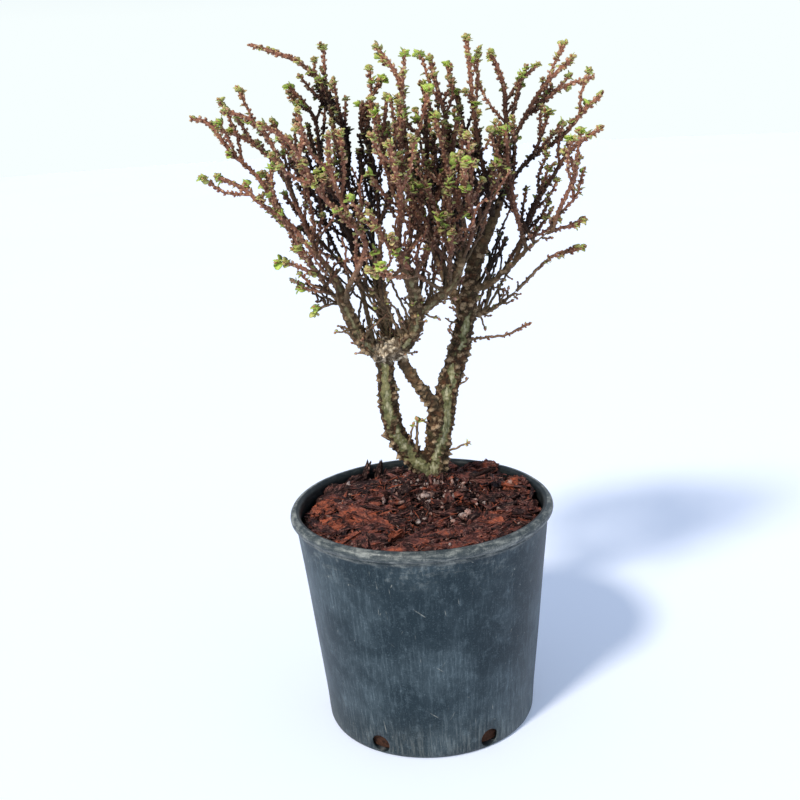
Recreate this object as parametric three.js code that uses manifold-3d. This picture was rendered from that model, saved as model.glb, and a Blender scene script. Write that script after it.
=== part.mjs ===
// A dwarf cork bark elm grown as a twin-trunk bonsai in a round plastic nursery pot, topped with bark mulch.
// Millimetres, +Z up. The origin is the centre of the pot's flat foot, and -Y faces the viewer.
import * as THREE from 'three';
import { mergeVertices } from 'three/addons/utils/BufferGeometryUtils.js';
import Module from 'manifold-3d';

const wasm = await Module();
wasm.setup();

// Pot
const POT_HEIGHT = 98;
const POT_FOOT_RADIUS = 46;
const POT_NECK_RADIUS = 54.8;
const POT_WALL = 1.5;
const POT_FLOOR = 2;
const RIM_RADIUS = 57;
const RIM_INNER_RADIUS = 52.6;
const RIM_DEPTH = 5.2;
const POT_SIDES = 36;
const DRAIN_HOLES = 6;
const DRAIN_RADIUS = 4.6;
const DRAIN_LIFT = 4.4;
const DRAIN_FIRST_ANGLE = 0;

// Potting mix and mulch
const FIT_GAP = 0.3;
const TRUNK_FOOT = new THREE.Vector2(5.5, 20);
const SURFACE_EDGE = 91;
const MOUND_HEIGHT = 9;
const MOUND_SPREAD = 17;
const MULCH_DEPTH = 4;
const MULCH_RELIEF = 0.9;
const BED_RINGS = 4;
const BED_RING_STEP = 13;
const BED_SIDES = 18;
const LARGE_CHIPS = 12;
const SMALL_CHIPS = 17;
const CHIP_SINK = 2;

// Cork bark
const LIMB_SIDES = 6;
const STUMP_SIDES = 12;
const LIMB_STEP = 3.4;
const CORK_HEIGHT = 1.7;
const CORK_MARGIN = 0.15;
const STUMP_TOP = 104;
const STUMP_DEPTH = 24;
const STUMP_RADIUS = 6;
const FLARE_RADIUS = 9;

// Crown
const GOLDEN_ANGLE = Math.PI * (3 - Math.sqrt(5));
const SHOOT_TIP_RADIUS = 0.95;
const INNER_SPRAYS = 30;
const CROWN_CENTRE = new THREE.Vector3(-1, 16, 279);
const CROWN_HALF_WIDTH = 72;
const CROWN_HALF_DEPTH = 58;
const CROWN_DROP = 34;
const SPRAY_CLEARANCE = 0.9;
const TWIG_SPACING = 50;
const BUD_LENGTH = 2.3;
const BUD_SPACING = 36;
const LEAF_LENGTH = 3.4;
const LEAF_WIDTH = 2.7;
const LEAF_THICKNESS = 1;

const WORLD_Y = new THREE.Vector3(0, 1, 0);
const point = ([x, y, z]) => new THREE.Vector3(x, y, z);

// A repeatable stream of numbers from 0 to 1.
function stream(seed) {
  let state = seed >>> 0;
  return () => {
    state = (Math.imul(state, 1664525) + 1013904223) >>> 0;
    return state / 4294967296;
  };
}

// Limbs of the woody frame, from the ground up: the radius at the foot and the tip, and the route that each follows.
const LIMBS = [
  { name: 'left_trunk', radii: [4.3, 2.9],
    route: [[5, 20, 101], [2, 20, 107], [-3, 20, 112], [-8, 19, 120], [-11, 18, 130], [-12, 17, 142], [-12, 15, 162]] },
  { name: 'right_trunk', radii: [5.3, 1.8],
    route: [[7, 20, 100], [8, 21, 110], [11, 21, 125], [15, 23, 142], [20, 24, 156], [25, 26, 175], [29, 30, 194],
      [38, 30, 214], [45, 28, 231]] },
  { name: 'middle_limb', radii: [3.0, 2.2],
    route: [[11, 21, 127], [7, 18, 137], [2, 16, 145], [-3, 17, 153], [-6, 19, 161], [-7, 22, 168]] },
  { name: 'left_limb', radii: [3.0, 1.5],
    route: [[-12, 15, 160], [-18, 12, 164], [-23, 9, 172], [-27, 6, 184], [-29, 5, 192], [-33, 4, 202]] },
  { name: 'right_limb', radii: [3.1, 1.6],
    route: [[-10, 14, 161], [-3, 10, 166], [2, 6, 175], [2, 1, 187], [0, -3, 196], [-4, -8, 208]] },
  { name: 'cross_limb', radii: [2.1, 1.4],
    route: [[2, 5, 179], [8, 3, 183], [14, 1, 188], [19, -1, 194], [22, -2, 203], [24, -3, 212]] },
  { name: 'centre_limb', radii: [2.6, 1.4],
    route: [[-10, 17, 160], [-11, 23, 172], [-12, 30, 184], [-14, 36, 197], [-15, 41, 209]] },
  { name: 'back_limb', radii: [2.2, 1.3],
    route: [[24, 26, 172], [19, 33, 183], [14, 41, 194], [10, 47, 206]] },
  { name: 'outer_limb', radii: [2.0, 1.2],
    route: [[27, 28, 183], [34, 25, 186], [43, 19, 194], [50, 13, 202], [60, 8, 211]] },
  { name: 'low_limb', radii: [1.7, 1.1],
    route: [[22, 26, 171], [33, 30, 173], [41, 34, 176], [49, 38, 181]] },
];

// Burls where limbs have grown together: the centre, the half sizes and the lean in turns about the Y axis.
const BURLS = [
  { centre: [-9, 14.5, 162.5], half: [8, 6, 4.6], lean: 0.02 },
  { centre: [10, 21, 124], half: [5.9, 5.4, 9], lean: 0.03 },
];

// Long shoots that shape the outline of the crown. Those with one spray name grow from the first of them.
const SHOOTS = [
  { spray: 'spray_left_low', radius: 1.3,
    route: [[-32, 4, 200], [-40, 2, 210], [-47, 0, 220], [-57, -4, 229], [-64, -6, 236], [-73, -8, 241]] },
  { spray: 'spray_left_low', radius: 1.1,
    route: [[-47, 0, 220], [-54, 3, 231], [-58, 5, 238], [-69, 6, 250], [-76, 8, 260], [-83, 8, 263]] },
  { spray: 'spray_left_low', radius: 0.9, route: [[-51, -1, 225], [-52, -4, 233], [-52, -6, 243]] },
  { spray: 'spray_left_upper', radius: 1.3,
    route: [[-31, 5, 197], [-37, 8, 206], [-43, 12, 222], [-49, 15, 237], [-57, 16, 249], [-70, 16, 257]] },
  { spray: 'spray_left_upper', radius: 1.0,
    route: [[-45, 13, 228], [-48, 8, 240], [-53, 4, 254], [-60, 1, 262], [-69, 0, 265]] },
  { spray: 'spray_front_left', radius: 1.5,
    route: [[-27, 6, 184], [-25, -3, 193], [-19, -15, 205], [-17, -24, 216], [-31, -34, 234], [-40, -41, 253],
      [-50, -45, 261]] },
  { spray: 'spray_front_left', radius: 1.1, route: [[-18, -26, 218], [-24, -32, 231], [-27, -37, 244], [-27, -40, 256]] },
  { spray: 'spray_left_arch', radius: 1.4,
    route: [[-16, 14, 163], [-20, 21, 186], [-24, 25, 211], [-25, 26, 229], [-22, 26, 246], [-26, 24, 264],
      [-38, 20, 281], [-58, 16, 290]] },
  { spray: 'spray_left_arch', radius: 1.0,
    route: [[-24, 25, 211], [-31, 24, 226], [-34, 26, 245], [-35, 27, 258], [-39, 27, 266], [-45, 26, 273]] },
  { spray: 'spray_left_arch', radius: 0.8, route: [[-31, 24, 226], [-43, 25, 238], [-44, 26, 252], [-42, 25, 266]] },
  { spray: 'spray_front_centre', radius: 1.5,
    route: [[-4, -7, 206], [-3, -17, 218], [-2, -29, 232], [-4, -38, 244], [-5, -43, 252]] },
  { spray: 'spray_front_centre', radius: 1.3,
    route: [[-4, -11, 211], [-2, -8, 224], [-1, -5, 240], [0, -5, 257], [0, -6, 273], [-8, -6, 286]] },
  { spray: 'spray_front_centre', radius: 1.0, route: [[-2, -8, 224], [-6, 2, 236], [-7, 5, 250], [-5, 4, 267]] },
  { spray: 'spray_centre', radius: 1.2,
    route: [[-11, 23, 172], [-12, 20, 190], [-11, 21, 214], [-12, 21, 240], [-16, 20, 255], [-14, 18, 263],
      [-6, 15, 274]] },
  { spray: 'spray_centre', radius: 0.9, route: [[-11, 21, 214], [-6, 16, 229], [-1, 13, 243], [1, 12, 256]] },
  { spray: 'spray_centre_slim', radius: 1.1, route: [[3, 3, 184], [7, 6, 200], [11, 8, 219], [10, 6, 241], [10, 4, 265]] },
  { spray: 'spray_cross', radius: 1.2,
    route: [[24, -3, 211], [22, 0, 224], [19, 3, 241], [18, 6, 257], [15, 9, 271], [13, 10, 281]] },
  { spray: 'spray_cross', radius: 1.0, route: [[23, -2, 217], [19, -7, 230], [16, -10, 244], [13, -12, 259]] },
  { spray: 'spray_cross_front', radius: 1.1,
    route: [[22, -2, 202], [25, -12, 212], [25, -22, 223], [22, -29, 235], [23, -33, 243]] },
  { spray: 'spray_top_right', radius: 1.1,
    route: [[34, 30, 205], [31, 22, 220], [29, 18, 236], [26, 17, 252], [23, 17, 266], [20, 17, 278]] },
  { spray: 'spray_tallest', radius: 1.3,
    route: [[38, 30, 214], [36, 20, 222], [34, 11, 231], [31, 6, 245], [29, 4, 262], [28, 3, 277], [27, 2, 288]] },
  { spray: 'spray_right_head', radius: 1.6,
    route: [[45, 28, 230], [45, 27, 242], [44, 25, 256], [43, 22, 269], [38, 19, 282]] },
  { spray: 'spray_right_head', radius: 0.9, route: [[44, 24, 262], [50, 22, 270], [57, 20, 276]] },
  { spray: 'spray_right_head', radius: 1.2,
    route: [[45, 26, 244], [50, 25, 252], [54, 24, 259], [61, 21, 269], [71, 18, 278]] },
  { spray: 'spray_right_head', radius: 1.0, route: [[51, 25, 254], [61, 28, 263], [70, 30, 267], [82, 31, 270]] },
  { spray: 'spray_right_wing', radius: 1.2,
    route: [[42, 29, 224], [48, 23, 233], [55, 21, 240], [66, 18, 247], [75, 16, 257], [82, 15, 263]] },
  { spray: 'spray_right_wing', radius: 0.9, route: [[48, 23, 233], [55, 15, 243], [60, 12, 257]] },
  { spray: 'spray_right_mid', radius: 1.2,
    route: [[45, 17, 196], [49, 18, 206], [52, 15, 217], [60, 12, 230], [69, 12, 242], [81, 12, 250]] },
  { spray: 'spray_right_mid', radius: 0.8, route: [[56, 13, 224], [55, 8, 233], [58, 4, 241]] },
  { spray: 'spray_right_low', radius: 1.1,
    route: [[60, 8, 210], [63, 4, 220], [67, 1, 229], [68, -1, 236], [64, -2, 242]] },
  { spray: 'spray_right_low', radius: 0.8, route: [[62, 6, 216], [70, 8, 224], [73, 7, 234]] },
  { spray: 'spray_right_tip', radius: 0.9, route: [[58, 9, 209], [66, 11, 211], [74, 12, 213]] },
  { spray: 'spray_low_whip', radius: 1.0, route: [[48, 38, 180], [57, 40, 188], [65, 42, 194], [76, 43, 197]] },
  { spray: 'spray_lowest_twig', radius: 0.8, route: [[22, 24, 162], [32, 20, 164], [40, 17, 165], [50, 14, 170]] },
  { spray: 'spray_left_stub', radius: 0.9, route: [[-27, 6, 187], [-35, 2, 191], [-45, -2, 194]] },
  { spray: 'spray_left_spur', radius: 0.7, route: [[-27, 6, 185], [-35, 10, 184], [-41, 13, 180]] },
  { spray: 'spray_left_flag', radius: 1.0, route: [[-29, 5, 193], [-38, -3, 200], [-49, -9, 206]] },
];

// Shortest distance between the segments a-b and c-d.
function segmentDistance(a, b, c, d) {
  const u = b.clone().sub(a);
  const v = d.clone().sub(c);
  const w = a.clone().sub(c);
  const uu = u.dot(u);
  const uv = u.dot(v);
  const vv = v.dot(v);
  const uw = u.dot(w);
  const vw = v.dot(w);
  const area = uu * vv - uv * uv;
  const free = area > 1e-9 ? THREE.MathUtils.clamp((uv * vw - vv * uw) / area, 0, 1) : 0;
  const t = THREE.MathUtils.clamp((uv * free + vw) / vv, 0, 1);
  const s = THREE.MathUtils.clamp((uv * t - uw) / uu, 0, 1);
  return w.addScaledVector(u, s).addScaledVector(v, -t).length();
}

const WOOD = 'trunk_and_limbs';

// The room that is taken so far, as round-ended rods, each with the node that it belongs to.
const taken = [];

// A path may touch the wood only before the segment with the number woodFrom, where it leaves its limb.
function isClear(path, radius, node, woodFrom = 0) {
  for (let i = 0; i < path.length - 1; i++) {
    for (const rod of taken) {
      if (rod.node === node || (rod.node === WOOD && i < woodFrom)) continue;
      const room = radius + rod.radius + SPRAY_CLEARANCE;
      if (segmentDistance(path[i], path[i + 1], rod.from, rod.to) < room) return false;
    }
  }
  return true;
}

function take(path, radius, node) {
  for (let i = 0; i < path.length - 1; i++) taken.push({ from: path[i], to: path[i + 1], radius, node });
}

const curveThrough = (points) => new THREE.CatmullRomCurve3(points, false, 'catmullrom', 0.5);

function sample(points, steps) {
  return curveThrough(points).getPoints(steps);
}

// Two directions square to a stem: the first lies level and points sideways, as the trunk's flanks do.
function squareTo(tangent) {
  const side = new THREE.Vector3().crossVectors(WORLD_Y, tangent).normalize();
  return [side, new THREE.Vector3().crossVectors(tangent, side)];
}

for (const limb of LIMBS) {
  limb.points = limb.route.map(point);
  take(sample(limb.points, 12), (limb.radii[0] + limb.radii[1]) / 2, WOOD);
}

const shoots = SHOOTS.map(({ spray, radius, route }) => ({ spray, radius, points: route.map(point) }));
for (const shoot of shoots) {
  shoot.path = sample(shoot.points, 10);
  take(shoot.path, shoot.radius, shoot.spray);
}

// Where an inner shoot may leave a limb: points on the upper limbs, each used once.
const SEATS_PER_LIMB = 12;
const LOWEST_SEAT = 164;
const seats = LIMBS.flatMap((limb) => sample(limb.points, SEATS_PER_LIMB).filter((p) => p.z > LOWEST_SEAT));

// The free seats, the best for a tip first: those about a shoot's length away and well below it.
function seatsFor(tip) {
  const cost = (seat) => {
    const reach = tip.distanceTo(seat);
    return reach + (tip.z - seat.z < 0.6 * reach ? 60 : 0) + 0.4 * Math.abs(reach - 62);
  };
  return seats.filter((seat) => !seat.used).sort((a, b) => cost(a) - cost(b));
}

// A shoot's points from its seat to its tip, bowed outwards from the trunk and a little upwards.
function bowed(from, to, bow) {
  const out = to.clone().sub(from).setZ(0);
  out.setLength(Math.max(out.length(), 1e-6));
  const reach = from.distanceTo(to);
  return [0, 0.33, 0.67, 1].map((t) => {
    const lift = Math.sin(Math.PI * t) * reach * bow;
    return from.clone().lerp(to, t).addScaledVector(out.clone().normalize(), lift).setZ(
      from.z + (to.z - from.z) * t - 0.3 * lift);
  });
}

// Inner sprays fill the crown: their tips lie on a golden-angle spiral under a shallow dome, and a shoot that would
// cross another spray is tried from the next seats and turned about the crown's axis until it is clear.
const TRIES = 14;
const SEAT_CHOICES = 7;
function growInnerSprays() {
  const draw = stream(71);
  let placed = 0;
  for (let i = 0; i < INNER_SPRAYS; i++) {
    const spray = `spray_inner_${String(placed + 1).padStart(2, '0')}`;
    const drop = draw() * 26;
    const bow = 0.03 + draw() * 0.07;
    const spread = Math.sqrt((i + 0.6) / INNER_SPRAYS);
    for (let attempt = 0; attempt < TRIES * SEAT_CHOICES; attempt++) {
      const swing = Math.ceil(Math.floor(attempt / SEAT_CHOICES) / 2) * 0.16;
      const heading = i * GOLDEN_ANGLE + (Math.floor(attempt / SEAT_CHOICES) % 2 ? swing : -swing);
      const tip = new THREE.Vector3(
        CROWN_CENTRE.x + CROWN_HALF_WIDTH * spread * Math.cos(heading),
        CROWN_CENTRE.y + CROWN_HALF_DEPTH * spread * Math.sin(heading),
        CROWN_CENTRE.z - CROWN_DROP * spread * spread - drop);
      const seat = seatsFor(tip)[attempt % SEAT_CHOICES];
      const points = bowed(seat, tip, bow);
      const path = sample(points, 10);
      if (!isClear(path, 1.1, spray, 2)) continue;
      seat.used = true;
      shoots.push({ spray, radius: 1.1, points, path });
      take(path, 1.1, spray);
      growForks(spray, path, draw, 1);
      placed += 1;
      break;
    }
  }
}

// Forks leave a shoot at a slant, each turned by the golden angle from the last.
function growForks(spray, path, draw, count) {
  for (let f = 0; f < count; f++) {
    const at = 3 + 2 * f;
    const share = 0.62 + 0.25 * draw();
    const start = path[at];
    const along = path[at + 1].clone().sub(start).normalize();
    const reach = start.distanceTo(path[path.length - 1]) * share;
    const [side, face] = squareTo(along);
    const turn = draw() * 2 * Math.PI;
    for (let attempt = 0; attempt < TRIES; attempt++) {
      const heading = turn + attempt * GOLDEN_ANGLE;
      const slant = 0.36;
      const tip = start.clone().addScaledVector(along, reach * Math.cos(slant))
        .addScaledVector(side, reach * Math.sin(slant) * Math.cos(heading))
        .addScaledVector(face, reach * Math.sin(slant) * Math.sin(heading));
      const points = bowed(start, tip, 0.08);
      const fork = sample(points, 8);
      if (!isClear(fork, 0.95, spray, 0)) continue;
      shoots.push({ spray, radius: 0.95, points, path: fork });
      take(fork, 0.95, spray);
      break;
    }
  }
}
growInnerSprays();

// Short side twigs on the outer part of each shoot.
const TWIG_RADIUS = 0.7;
function growTwigs() {
  const draw = stream(15);
  const parents = shoots.filter((shoot) => !shoot.spray.startsWith('spray_inner'));
  parents.forEach((shoot, index) => {
    const length = curveThrough(shoot.points).getLength();
    const count = Math.floor(length * 0.7 / TWIG_SPACING);
    for (let k = 0; k < count; k++) {
      const t = 0.36 + 0.6 * (k + 0.5) / count;
      const reach = 5 + 6 * draw();
      const curve = curveThrough(shoot.points);
      const start = curve.getPoint(t);
      const along = curve.getTangent(t);
      const [side, face] = squareTo(along);
      for (let attempt = 0; attempt < 5; attempt++) {
        const heading = (index + k + attempt) * GOLDEN_ANGLE;
        const tip = start.clone().addScaledVector(along, reach * 0.72)
          .addScaledVector(side, reach * 0.6 * Math.cos(heading))
          .addScaledVector(face, reach * 0.6 * Math.sin(heading));
        tip.z += 0.15 * reach;
        if (!isClear([start, tip], TWIG_RADIUS, shoot.spray)) continue;
        const points = [start, start.clone().lerp(tip, 0.5).addScaledVector(along, 0.1 * reach), tip];
        shoots.push({ spray: shoot.spray, radius: TWIG_RADIUS, points, path: [start, tip], twig: true });
        take([start, tip], TWIG_RADIUS, shoot.spray);
        break;
      }
    }
  });
}
growTwigs();

// A closed three.js geometry as a solid.
function solidOf(geometry) {
  const bare = geometry.clone();
  bare.deleteAttribute('normal');
  bare.deleteAttribute('uv');
  const merged = mergeVertices(bare, 1e-4);
  return new wasm.Manifold(new wasm.Mesh({
    numProp: 3,
    vertProperties: Float32Array.from(merged.attributes.position.array),
    triVerts: Uint32Array.from(merged.index.array),
  }));
}

function geometryOf(solid) {
  const mesh = solid.getMesh();
  const positions = new Float32Array(mesh.numVert * 3);
  for (let i = 0; i < mesh.numVert; i++) {
    positions.set(mesh.vertProperties.subarray(i * mesh.numProp, i * mesh.numProp + 3), i * 3);
  }
  const geometry = new THREE.BufferGeometry();
  geometry.setAttribute('position', new THREE.BufferAttribute(positions, 3));
  geometry.setIndex(new THREE.BufferAttribute(Uint32Array.from(mesh.triVerts), 1));
  geometry.computeVertexNormals();
  return geometry;
}

const joined = (solids) => wasm.Manifold.union(solids);

// The largest body of a solid, without the loose scraps that a cut can leave.
function mainBody(solid) {
  return solid.decompose().reduce((a, b) => (b.volume() > a.volume() ? b : a));
}

// A stem along a route: a cylinder whose rings are carried onto the curve and given the radius of a formula.
function stem(points, sides, rings, radiusAt, overrun = 0) {
  const curve = curveThrough(points);
  const geometry = new THREE.CylinderGeometry(1, 1, 1, sides, rings);
  const position = geometry.attributes.position;
  for (let i = 0; i < position.count; i++) {
    const t = position.getY(i) + 0.5;
    const share = Math.hypot(position.getX(i), position.getZ(i));
    const angle = Math.atan2(-position.getZ(i), position.getX(i));
    const along = curve.getTangent(t);
    const [side, face] = squareTo(along);
    const radius = share * radiusAt(t, angle);
    const p = curve.getPoint(t).addScaledVector(side, radius * Math.cos(angle))
      .addScaledVector(face, radius * Math.sin(angle))
      .addScaledVector(along, t > 0.999 ? overrun : 0);
    position.setXYZ(i, p.x, p.y, p.z);
  }
  return solidOf(geometry);
}

// Cork is thickest on the trunks and thins out with the limbs.
const corkHeight = (plain) => CORK_HEIGHT * Math.min(1, plain / 4);

// Cork stands up in two broken wings along a limb's flanks, and leaves a smoother strip in front.
function corkRadius(limb, rings, seed) {
  const draw = stream(seed);
  const warts = Array.from({ length: (rings + 1) * LIMB_SIDES }, draw);
  return (t, angle) => {
    const ring = Math.round(t * rings);
    const flank = (Math.round(angle / (2 * Math.PI) * LIMB_SIDES) + LIMB_SIDES) % LIMB_SIDES;
    const wing = Math.pow(Math.cos(angle), 2) + (Math.sin(angle) > 0.3 ? 0.5 : 0);
    const plain = THREE.MathUtils.lerp(limb.radii[0], limb.radii[1], t);
    const tooth = (ring + flank) % 2 ? 0.15 : 0.6;
    return plain + corkHeight(plain) * wing * (tooth + 0.4 * warts[ring * LIMB_SIDES + flank]);
  };
}

function limbSolid(limb, index) {
  const rings = Math.round(curveThrough(limb.points).getLength() / LIMB_STEP);
  return stem(limb.points, LIMB_SIDES, rings, corkRadius(limb, rings, 100 + index));
}

// The room that a limb needs, a little wider than its cork stands.
function limbRoom(limb) {
  const rings = Math.round(curveThrough(limb.points).getLength() / (2 * LIMB_STEP));
  return stem(limb.points, LIMB_SIDES, rings, (t) => {
    const plain = THREE.MathUtils.lerp(limb.radii[0], limb.radii[1], t);
    return (plain + 0.5 * corkHeight(plain) + CORK_MARGIN) / Math.cos(Math.PI / LIMB_SIDES);
  }, FIT_GAP);
}

// The foot of both trunks is one lobed flare, which stands in a plain hole in the mix.
function flare() {
  const geometry = new THREE.CylinderGeometry(1, 1, STUMP_DEPTH, STUMP_SIDES, 3);
  geometry.rotateX(Math.PI / 2);
  const position = geometry.attributes.position;
  for (let i = 0; i < position.count; i++) {
    const heading = Math.atan2(position.getY(i), position.getX(i));
    const share = 0.5 - position.getZ(i) / STUMP_DEPTH;
    const lobes = 0.5 + 0.5 * Math.cos(4 * heading + 1);
    const radius = THREE.MathUtils.lerp(STUMP_RADIUS, FLARE_RADIUS - 1.6 + 1.6 * lobes, Math.min(1, 3 * share));
    position.setX(i, position.getX(i) * radius);
    position.setY(i, position.getY(i) * radius);
  }
  geometry.translate(TRUNK_FOOT.x, TRUNK_FOOT.y, STUMP_TOP - STUMP_DEPTH / 2);
  return solidOf(geometry);
}

// A burl is a rounded lump with low bosses. Grown by extra, it is the room that the burl needs.
function burl({ centre, half, lean }, extra = 0) {
  const geometry = new THREE.SphereGeometry(1, 8, 4);
  const position = geometry.attributes.position;
  for (let i = 0; i < position.count; i++) {
    const p = new THREE.Vector3().fromBufferAttribute(position, i);
    const boss = 1 + 0.07 * Math.sin(7 * p.x + 3 * p.z) * Math.cos(5 * p.y);
    position.setXYZ(i, p.x * (half[0] * boss + extra), p.y * (half[1] * boss + extra), p.z * (half[2] * boss + extra));
  }
  geometry.rotateY(lean * 2 * Math.PI);
  geometry.translate(...centre);
  return solidOf(geometry);
}

function trunkAndLimbs() {
  return mainBody(joined([...LIMBS.map(limbSolid), ...BURLS.map((lump) => burl(lump)), flare()]));
}

// A leafy shoot's stem is a slim beaded rod, thinner towards its tip.
function shootSolid(shoot) {
  const length = curveThrough(shoot.points).getLength();
  const sides = shoot.radius < 1 ? 3 : 4;
  const rings = shoot.twig ? 1 : Math.max(3, Math.round(length / 12));
  return stem(shoot.points, sides, rings, (t) => {
    const bead = Math.round(t * rings) % 2 ? 1.12 : 0.94;
    const tip = Math.min(shoot.radius, SHOOT_TIP_RADIUS);
    return THREE.MathUtils.lerp(shoot.radius, tip, t) * bead;
  });
}

// A form built along +Z is set on a stem at p, leaning from the stem's own direction.
function setOn(geometry, p, direction, roll) {
  const turn = new THREE.Quaternion().setFromUnitVectors(new THREE.Vector3(0, 0, 1), direction);
  geometry.rotateZ(roll);
  geometry.applyQuaternion(turn);
  geometry.translate(p.x, p.y, p.z);
  return solidOf(geometry);
}

function bud(p, direction, roll) {
  const geometry = new THREE.TetrahedronGeometry(1);
  geometry.applyQuaternion(new THREE.Quaternion().setFromUnitVectors(point([1, 1, 1]).normalize(), point([0, 0, 1])));
  geometry.scale(1, 1, BUD_LENGTH / 2);
  geometry.translate(0, 0, 0.3);
  return setOn(geometry, p, direction, roll);
}

// A leaf is a small oval blade with a short base sunk in the stem.
function leaf(p, direction, roll) {
  const geometry = new THREE.SphereGeometry(1, 5, 2);
  geometry.scale(LEAF_WIDTH / 2, LEAF_THICKNESS / 2, LEAF_LENGTH / 2);
  geometry.translate(0, 0, LEAF_LENGTH / 2);
  return setOn(geometry, p, direction, roll);
}

// Buds sit all along a shoot and leaves crowd its outer part, out to the furthest tip.
function foliage(shoot, index) {
  const draw = stream(9000 + 37 * index);
  const curve = curveThrough(shoot.points);
  const length = curve.getLength();
  const pieces = [];
  const add = (t, form, lean, heading) => {
    const p = curve.getPoint(t);
    const along = curve.getTangent(t);
    const [side, face] = squareTo(along);
    const direction = along.clone().multiplyScalar(Math.cos(lean))
      .addScaledVector(side, Math.sin(lean) * Math.cos(heading))
      .addScaledVector(face, Math.sin(lean) * Math.sin(heading));
    const tip = p.clone().addScaledVector(direction, LEAF_LENGTH * 0.8);
    if (!isClear([p, tip], 0.6, shoot.spray)) return;
    take([p, tip], 0.6, shoot.spray);
    pieces.push(form(p, direction, draw() * Math.PI));
  };
  if (!shoot.twig) {
    const buds = Math.round(length / BUD_SPACING);
    for (let k = 0; k < buds; k++) add(0.15 + 0.8 * (k + 0.5) / buds, bud, 0.9, (k + index) * GOLDEN_ANGLE);
  }
  add(0.97, leaf, 0.55, index * GOLDEN_ANGLE);
  if (shoot.radius > 1) add(0.9, leaf, 0.8, index * GOLDEN_ANGLE + Math.PI);
  return pieces;
}

function spraySolid(name, limbsRoom) {
  const pieces = [];
  shoots.forEach((shoot, index) => {
    if (shoot.spray !== name) return;
    pieces.push(shootSolid(shoot), ...foliage(shoot, index));
  });
  return mainBody(joined(pieces).subtract(limbsRoom));
}

// Bare profile of the pot, from the axis under the foot, out and up round the rim, and back down inside.
function potProfile() {
  const top = POT_HEIGHT;
  const under = POT_HEIGHT - RIM_DEPTH;
  return [
    [0, 0], [POT_FOOT_RADIUS - 1.2, 0], [POT_FOOT_RADIUS, 1.2], [POT_NECK_RADIUS, under - 0.6],
    [RIM_RADIUS - 0.7, under], [RIM_RADIUS, under + 1.1], [RIM_RADIUS, top - 1.6], [RIM_RADIUS - 0.8, top - 0.4],
    [RIM_RADIUS - 1.9, top], [RIM_INNER_RADIUS + 1.2, top], [RIM_INNER_RADIUS + 0.3, top - 0.5],
    [RIM_INNER_RADIUS, top - 1.6], [POT_NECK_RADIUS - POT_WALL, under - 3], [POT_FOOT_RADIUS - POT_WALL, POT_FLOOR],
    [0, POT_FLOOR],
  ];
}

// A profile of [radius, height] pairs turned about the Z axis.
function turned(profile, sides) {
  const geometry = new THREE.LatheGeometry(profile.map(([r, z]) => new THREE.Vector2(r, z)), sides);
  geometry.rotateX(Math.PI / 2);
  return solidOf(geometry);
}

function drainHole(index) {
  const geometry = new THREE.CylinderGeometry(DRAIN_RADIUS, DRAIN_RADIUS, 12, 8);
  geometry.rotateZ(Math.PI / 2);
  geometry.translate(POT_FOOT_RADIUS, 0, DRAIN_LIFT);
  geometry.rotateZ(DRAIN_FIRST_ANGLE + index * 2 * Math.PI / DRAIN_HOLES);
  return solidOf(geometry);
}

function pot() {
  const holes = Array.from({ length: DRAIN_HOLES }, (_, i) => drainHole(i));
  return turned(potProfile(), POT_SIDES).subtract(joined(holes));
}

// Inside radius of the pot at a height, less the gap that the filling keeps.
function boreRadius(z) {
  const share = (z - POT_FLOOR) / (POT_HEIGHT - RIM_DEPTH - 3 - POT_FLOOR);
  const wall = THREE.MathUtils.lerp(POT_FOOT_RADIUS, POT_NECK_RADIUS, share) - POT_WALL;
  return Math.min(wall, RIM_INNER_RADIUS) - FIT_GAP - 0.15;
}

// Height of the bed at a place: level near the wall, and mounded round the trunk.
function bedHeight(x, y) {
  const away = (x - TRUNK_FOOT.x) ** 2 + (y - TRUNK_FOOT.y) ** 2;
  return SURFACE_EDGE + MOUND_HEIGHT * Math.exp(-away / (2 * MOUND_SPREAD ** 2));
}

// The mulch is a disc with a flat underside, whose top is carried by the mound and roughened.
function mulchBed(low, draw) {
  const inner = Array.from({ length: BED_RINGS - 1 }, (_, i) => (i + 1) * BED_RING_STEP);
  const high = SURFACE_EDGE;
  const profile = [[0, low], [boreRadius(low), low], [boreRadius(high), high],
    ...inner.reverse().map((r) => [r, high]), [0, high]];
  const geometry = new THREE.LatheGeometry(profile.map(([r, z]) => new THREE.Vector2(r, z)), BED_SIDES);
  geometry.rotateX(Math.PI / 2);
  geometry.deleteAttribute('normal');
  geometry.deleteAttribute('uv');
  const merged = mergeVertices(geometry, 1e-4);
  const position = merged.attributes.position;
  for (let i = 0; i < position.count; i++) {
    if (position.getZ(i) < (low + high) / 2) continue;
    position.setZ(i, bedHeight(position.getX(i), position.getY(i)) + MULCH_RELIEF * (2 * draw() - 1));
  }
  return solidOf(merged);
}

// The hole that the flare stands in.
function footHole() {
  const radius = (FLARE_RADIUS + FIT_GAP) / Math.cos(Math.PI / (2 * STUMP_SIDES));
  const geometry = new THREE.CylinderGeometry(radius, radius, STUMP_DEPTH + 20, 2 * STUMP_SIDES);
  geometry.rotateX(Math.PI / 2);
  geometry.translate(TRUNK_FOOT.x, TRUNK_FOOT.y, STUMP_TOP - STUMP_DEPTH / 2 + 10 - FIT_GAP);
  return solidOf(geometry);
}

function pottingMix() {
  const low = POT_FLOOR + FIT_GAP;
  const top = SURFACE_EDGE - MULCH_DEPTH;
  return turned([[0, low], [boreRadius(low), low], [boreRadius(top), top], [0, top]], POT_SIDES).subtract(footHole());
}

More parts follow.
